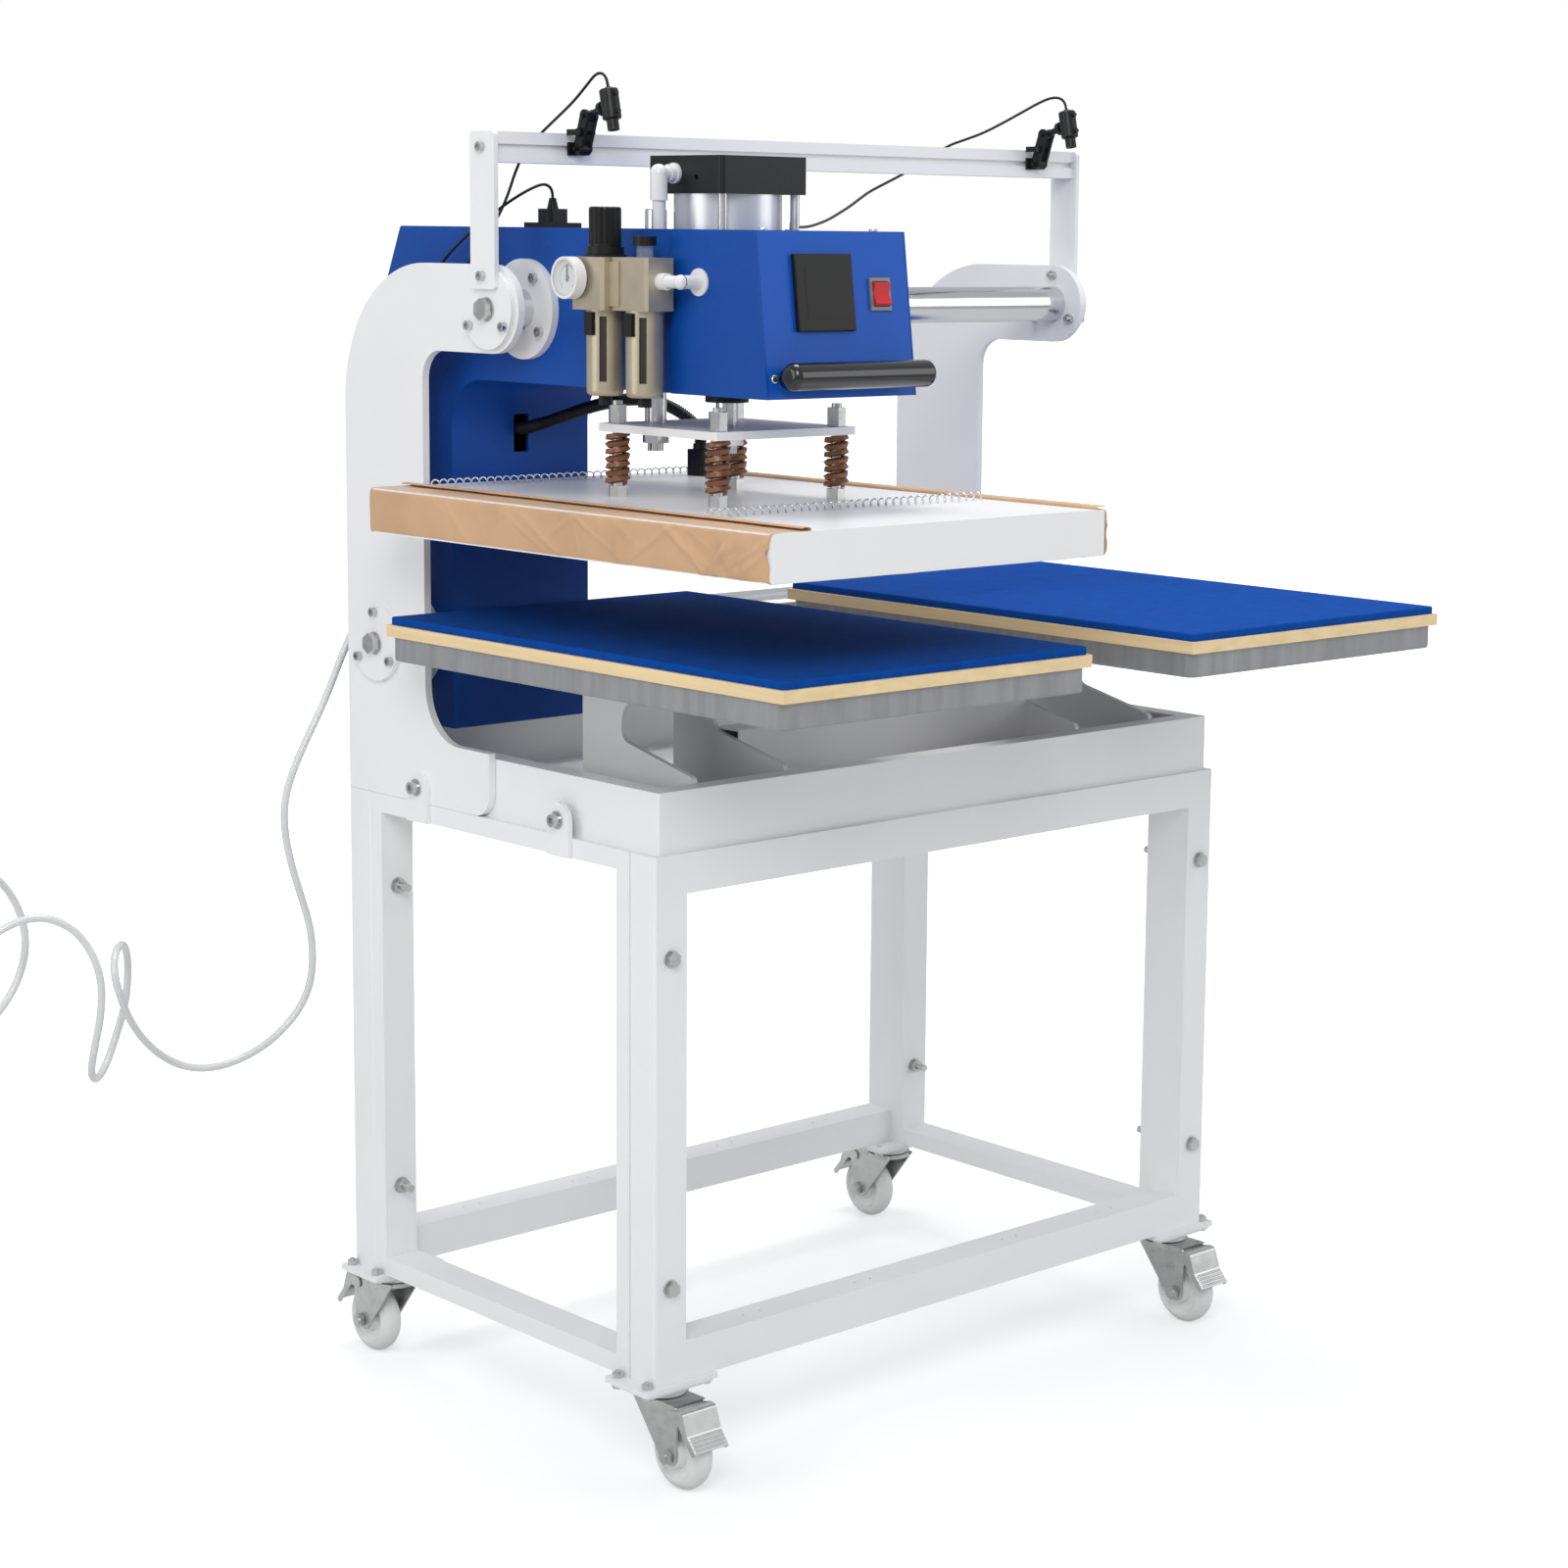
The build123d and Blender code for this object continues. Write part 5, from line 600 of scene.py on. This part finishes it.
# Node tree that lays a stitch at even steps along a line
def makeStitchTree(material):
    tree = bpy.data.node_groups.new("stitchLine", "GeometryNodeTree")
    sockets = tree.interface
    sockets.new_socket("Geometry", in_out="INPUT", socket_type="NodeSocketGeometry")
    for name in ("Spacing", "Length", "Radius"):
        sockets.new_socket(name, in_out="INPUT", socket_type="NodeSocketFloat")
    sockets.new_socket("Seed", in_out="INPUT", socket_type="NodeSocketInt")
    sockets.new_socket("Geometry", in_out="OUTPUT", socket_type="NodeSocketGeometry")
    nodes, links = tree.nodes, tree.links
    given, result = nodes.new("NodeGroupInput"), nodes.new("NodeGroupOutput")
    curve, steps = nodes.new("GeometryNodeMeshToCurve"), nodes.new("GeometryNodeResampleCurve")
    steps.mode = "LENGTH"
    stitch, tangent = nodes.new("GeometryNodeMeshCylinder"), nodes.new("GeometryNodeInputTangent")
    turn, change = nodes.new("FunctionNodeAlignEulerToVector"), nodes.new("FunctionNodeRandomValue")
    turn.axis = "Z"
    change.data_type = "FLOAT"
    laid, real = nodes.new("GeometryNodeInstanceOnPoints"), nodes.new("GeometryNodeRealizeInstances")
    finish = nodes.new("GeometryNodeSetMaterial")
    stitch.inputs["Vertices"].default_value = 8
    finish.inputs["Material"].default_value = material
    change.inputs[2].default_value = 0.85
    change.inputs[3].default_value = 1.1
    links.new(given.outputs["Geometry"], curve.inputs["Mesh"])
    links.new(curve.outputs["Curve"], steps.inputs["Curve"])
    links.new(given.outputs["Spacing"], steps.inputs["Length"])
    links.new(given.outputs["Radius"], stitch.inputs["Radius"])
    links.new(given.outputs["Length"], stitch.inputs["Depth"])
    links.new(given.outputs["Seed"], change.inputs["Seed"])
    links.new(tangent.outputs["Tangent"], turn.inputs["Vector"])
    links.new(steps.outputs["Curve"], laid.inputs["Points"])
    links.new(stitch.outputs["Mesh"], laid.inputs["Instance"])
    links.new(turn.outputs["Rotation"], laid.inputs["Rotation"])
    links.new(change.outputs[1], laid.inputs["Scale"])
    links.new(laid.outputs["Instances"], real.inputs["Geometry"])
    links.new(real.outputs["Geometry"], finish.inputs["Geometry"])
    links.new(finish.outputs["Geometry"], result.inputs["Geometry"])
    return tree


def makeStitches(name, look, tree, start, end):
    mesh = bpy.data.meshes.new(name)
    mesh.from_pydata([start, end], [(0, 1)], [])
    piece = bpy.data.objects.new(name, mesh)
    scene.collection.objects.link(piece)
    sewing = piece.modifiers.new("sewing", "NODES")
    sewing.node_group = tree
    for socket in tree.interface.items_tree:
        if socket.in_out == "INPUT" and socket.name.lower() in look:
            sewing[socket.identifier] = look[socket.name.lower()]
    seen = piece.evaluated_get(bpy.context.evaluated_depsgraph_get())
    piece.data = bpy.data.meshes.new_from_object(seen)
    piece.modifiers.clear()
    for polygon in piece.data.polygons:
        polygon.use_smooth = True
    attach(piece, "heat_platen")
    return piece


def makeHemSeams(look, low, high):
    tree = makeStitchTree(finishes["threadTan"])
    seams = []
    height = high.z + look["gap"] + look["hemRise"] + look["hemPuff"] * 0.75
    for name, x in (("leftHemStitches", low.x + look["hemLeft"] - look["hemBand"] * 0.7),
                    ("rightHemStitches", high.x - look["hemRight"] + look["hemBand"] * 0.7)):
        start, end = (x, low.y + 0.006, height), (x, high.y - 0.004, height)
        seams.append(makeStitches(name, stitchLook, tree, start, end))
    return seams


sleevePiece, sleeveFlat, platenLow, platenHigh = makeSleeve(sleeveLook)
makeHemSeams(sleeveLook, platenLow, platenHigh)
print("sleeve made")

# Scale marks on the gauge's dial
dialLook = {"marks": 26, "sweep": 270, "inner": 0.0112, "outer": 0.0135, "longInner": 0.0098, "half": 0.00022,
            "lift": 0.00068, "thickness": 0.0001}


def makeDialMarks(look):
    needleLow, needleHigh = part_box("gauge_needle")
    gaugeLow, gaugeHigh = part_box("pressure_gauge")
    middleY, middleZ = (gaugeLow.y + gaugeHigh.y) / 2, (gaugeLow.z + gaugeHigh.z) / 2
    front = needleHigh.x + look["lift"]
    vertices, faces = [], []
    for k in range(look["marks"] + 1):
        angle = math.radians(-look["sweep"] / 2 + look["sweep"] * k / look["marks"])
        out = Vector((0, math.sin(angle), math.cos(angle)))
        across = Vector((0, math.cos(angle), -math.sin(angle))) * look["half"]
        inner = look["longInner"] if k % 5 == 0 else look["inner"]
        first = len(vertices)
        for x in (front, front + look["thickness"]):
            for reach, side in ((inner, -1), (inner, 1), (look["outer"], 1), (look["outer"], -1)):
                vertices.append(Vector((x, middleY, middleZ)) + out * reach + across * side)
        for corners in ((0, 1, 2, 3), (7, 6, 5, 4), (0, 4, 5, 1), (1, 5, 6, 2), (2, 6, 7, 3), (3, 7, 4, 0)):
            faces.append(tuple(first + c for c in corners))
    piece = meshObject("dialMarks", vertices, faces, "satinBlack", smooth=False)
    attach(piece, "head")


makeDialMarks(dialLook)
print("dial made")


# Stage: pale floor and soft studio light
def makeStage():
    world = bpy.data.worlds.new("studio")
    scene.world = world
    world.use_nodes = True
    nodes, links = world.node_tree.nodes, world.node_tree.links
    background = nodes["Background"]
    seen = nodes.new("ShaderNodeLightPath")
    backdrop = nodes.new("ShaderNodeBackground")
    backdrop.inputs["Color"].default_value = (1, 1, 1, 1)
    background.inputs["Color"].default_value = (0.95, 0.97, 1, 1)
    background.inputs["Strength"].default_value = 0.56
    mix = nodes.new("ShaderNodeMixShader")
    most = nodes.new("ShaderNodeMath")
    most.operation = "MAXIMUM"
    links.new(seen.outputs["Is Camera Ray"], most.inputs[0])
    links.new(seen.outputs["Is Transmission Ray"], most.inputs[1])
    links.new(most.outputs[0], mix.inputs["Fac"])
    links.new(background.outputs[0], mix.inputs[1])
    links.new(backdrop.outputs[0], mix.inputs[2])
    links.new(mix.outputs[0], nodes["World Output"].inputs["Surface"])

    corners = [(-30, -30, 0), (30, -30, 0), (30, 30, 0), (-30, 30, 0)]
    floor = meshObject("studioFloor", corners, [(0, 1, 2, 3)], "powderWhite", smooth=False)
    material = bpy.data.materials.new("studioFloor")
    material.use_nodes = True
    nodes, links = material.node_tree.nodes, material.node_tree.links
    nodes.remove(nodes["Principled BSDF"])
    diffuse = nodes.new("ShaderNodeBsdfDiffuse")
    diffuse.inputs["Color"].default_value = (0.72, 0.72, 0.72, 1)
    glow = nodes.new("ShaderNodeEmission")
    path = nodes.new("ShaderNodeLightPath")
    spot, far = nodes.new("ShaderNodeTexCoord"), nodes.new("ShaderNodeVectorMath")
    far.operation = "LENGTH"
    fade = nodes.new("ShaderNodeMapRange")
    fade.inputs["From Min"].default_value, fade.inputs["From Max"].default_value = 0.9, 3.2
    fade.inputs["To Min"].default_value, fade.inputs["To Max"].default_value = 0.42, 1.0
    strength = nodes.new("ShaderNodeMath")
    strength.operation = "MULTIPLY"
    links.new(spot.outputs["Object"], far.inputs[0])
    links.new(far.outputs["Value"], fade.inputs["Value"])
    links.new(fade.outputs["Result"], strength.inputs[1])
    links.new(path.outputs["Is Camera Ray"], strength.inputs[0])
    links.new(strength.outputs[0], glow.inputs["Strength"])
    both = nodes.new("ShaderNodeAddShader")
    links.new(diffuse.outputs[0], both.inputs[0])
    links.new(glow.outputs[0], both.inputs[1])
    links.new(both.outputs[0], nodes["Material Output"].inputs["Surface"])
    floor.data.materials[0] = material

    lamps = {
        "keyLight": ((-2.6, -2.4, 2.9), 52, 1.6), "fillLight": ((2.6, -2.6, 1.9), 22, 2.2),
        "topLight": ((0.2, 0.3, 3.4), 46, 1.5), "sideLight": ((-3.2, 0.8, 1.6), 17, 1.8),
    }
    for name, (spot, power, size) in lamps.items():
        data = bpy.data.lights.new(name, "AREA")
        data.energy, data.size = power, size
        lamp = bpy.data.objects.new(name, data)
        scene.collection.objects.link(lamp)
        aim = Vector((0, 0, 0.8)) - Vector(spot)
        lamp.matrix_world = Matrix.Translation(spot) @ aim.to_track_quat("-Z", "Y").to_matrix().to_4x4()


makeStage()
print("stage set")
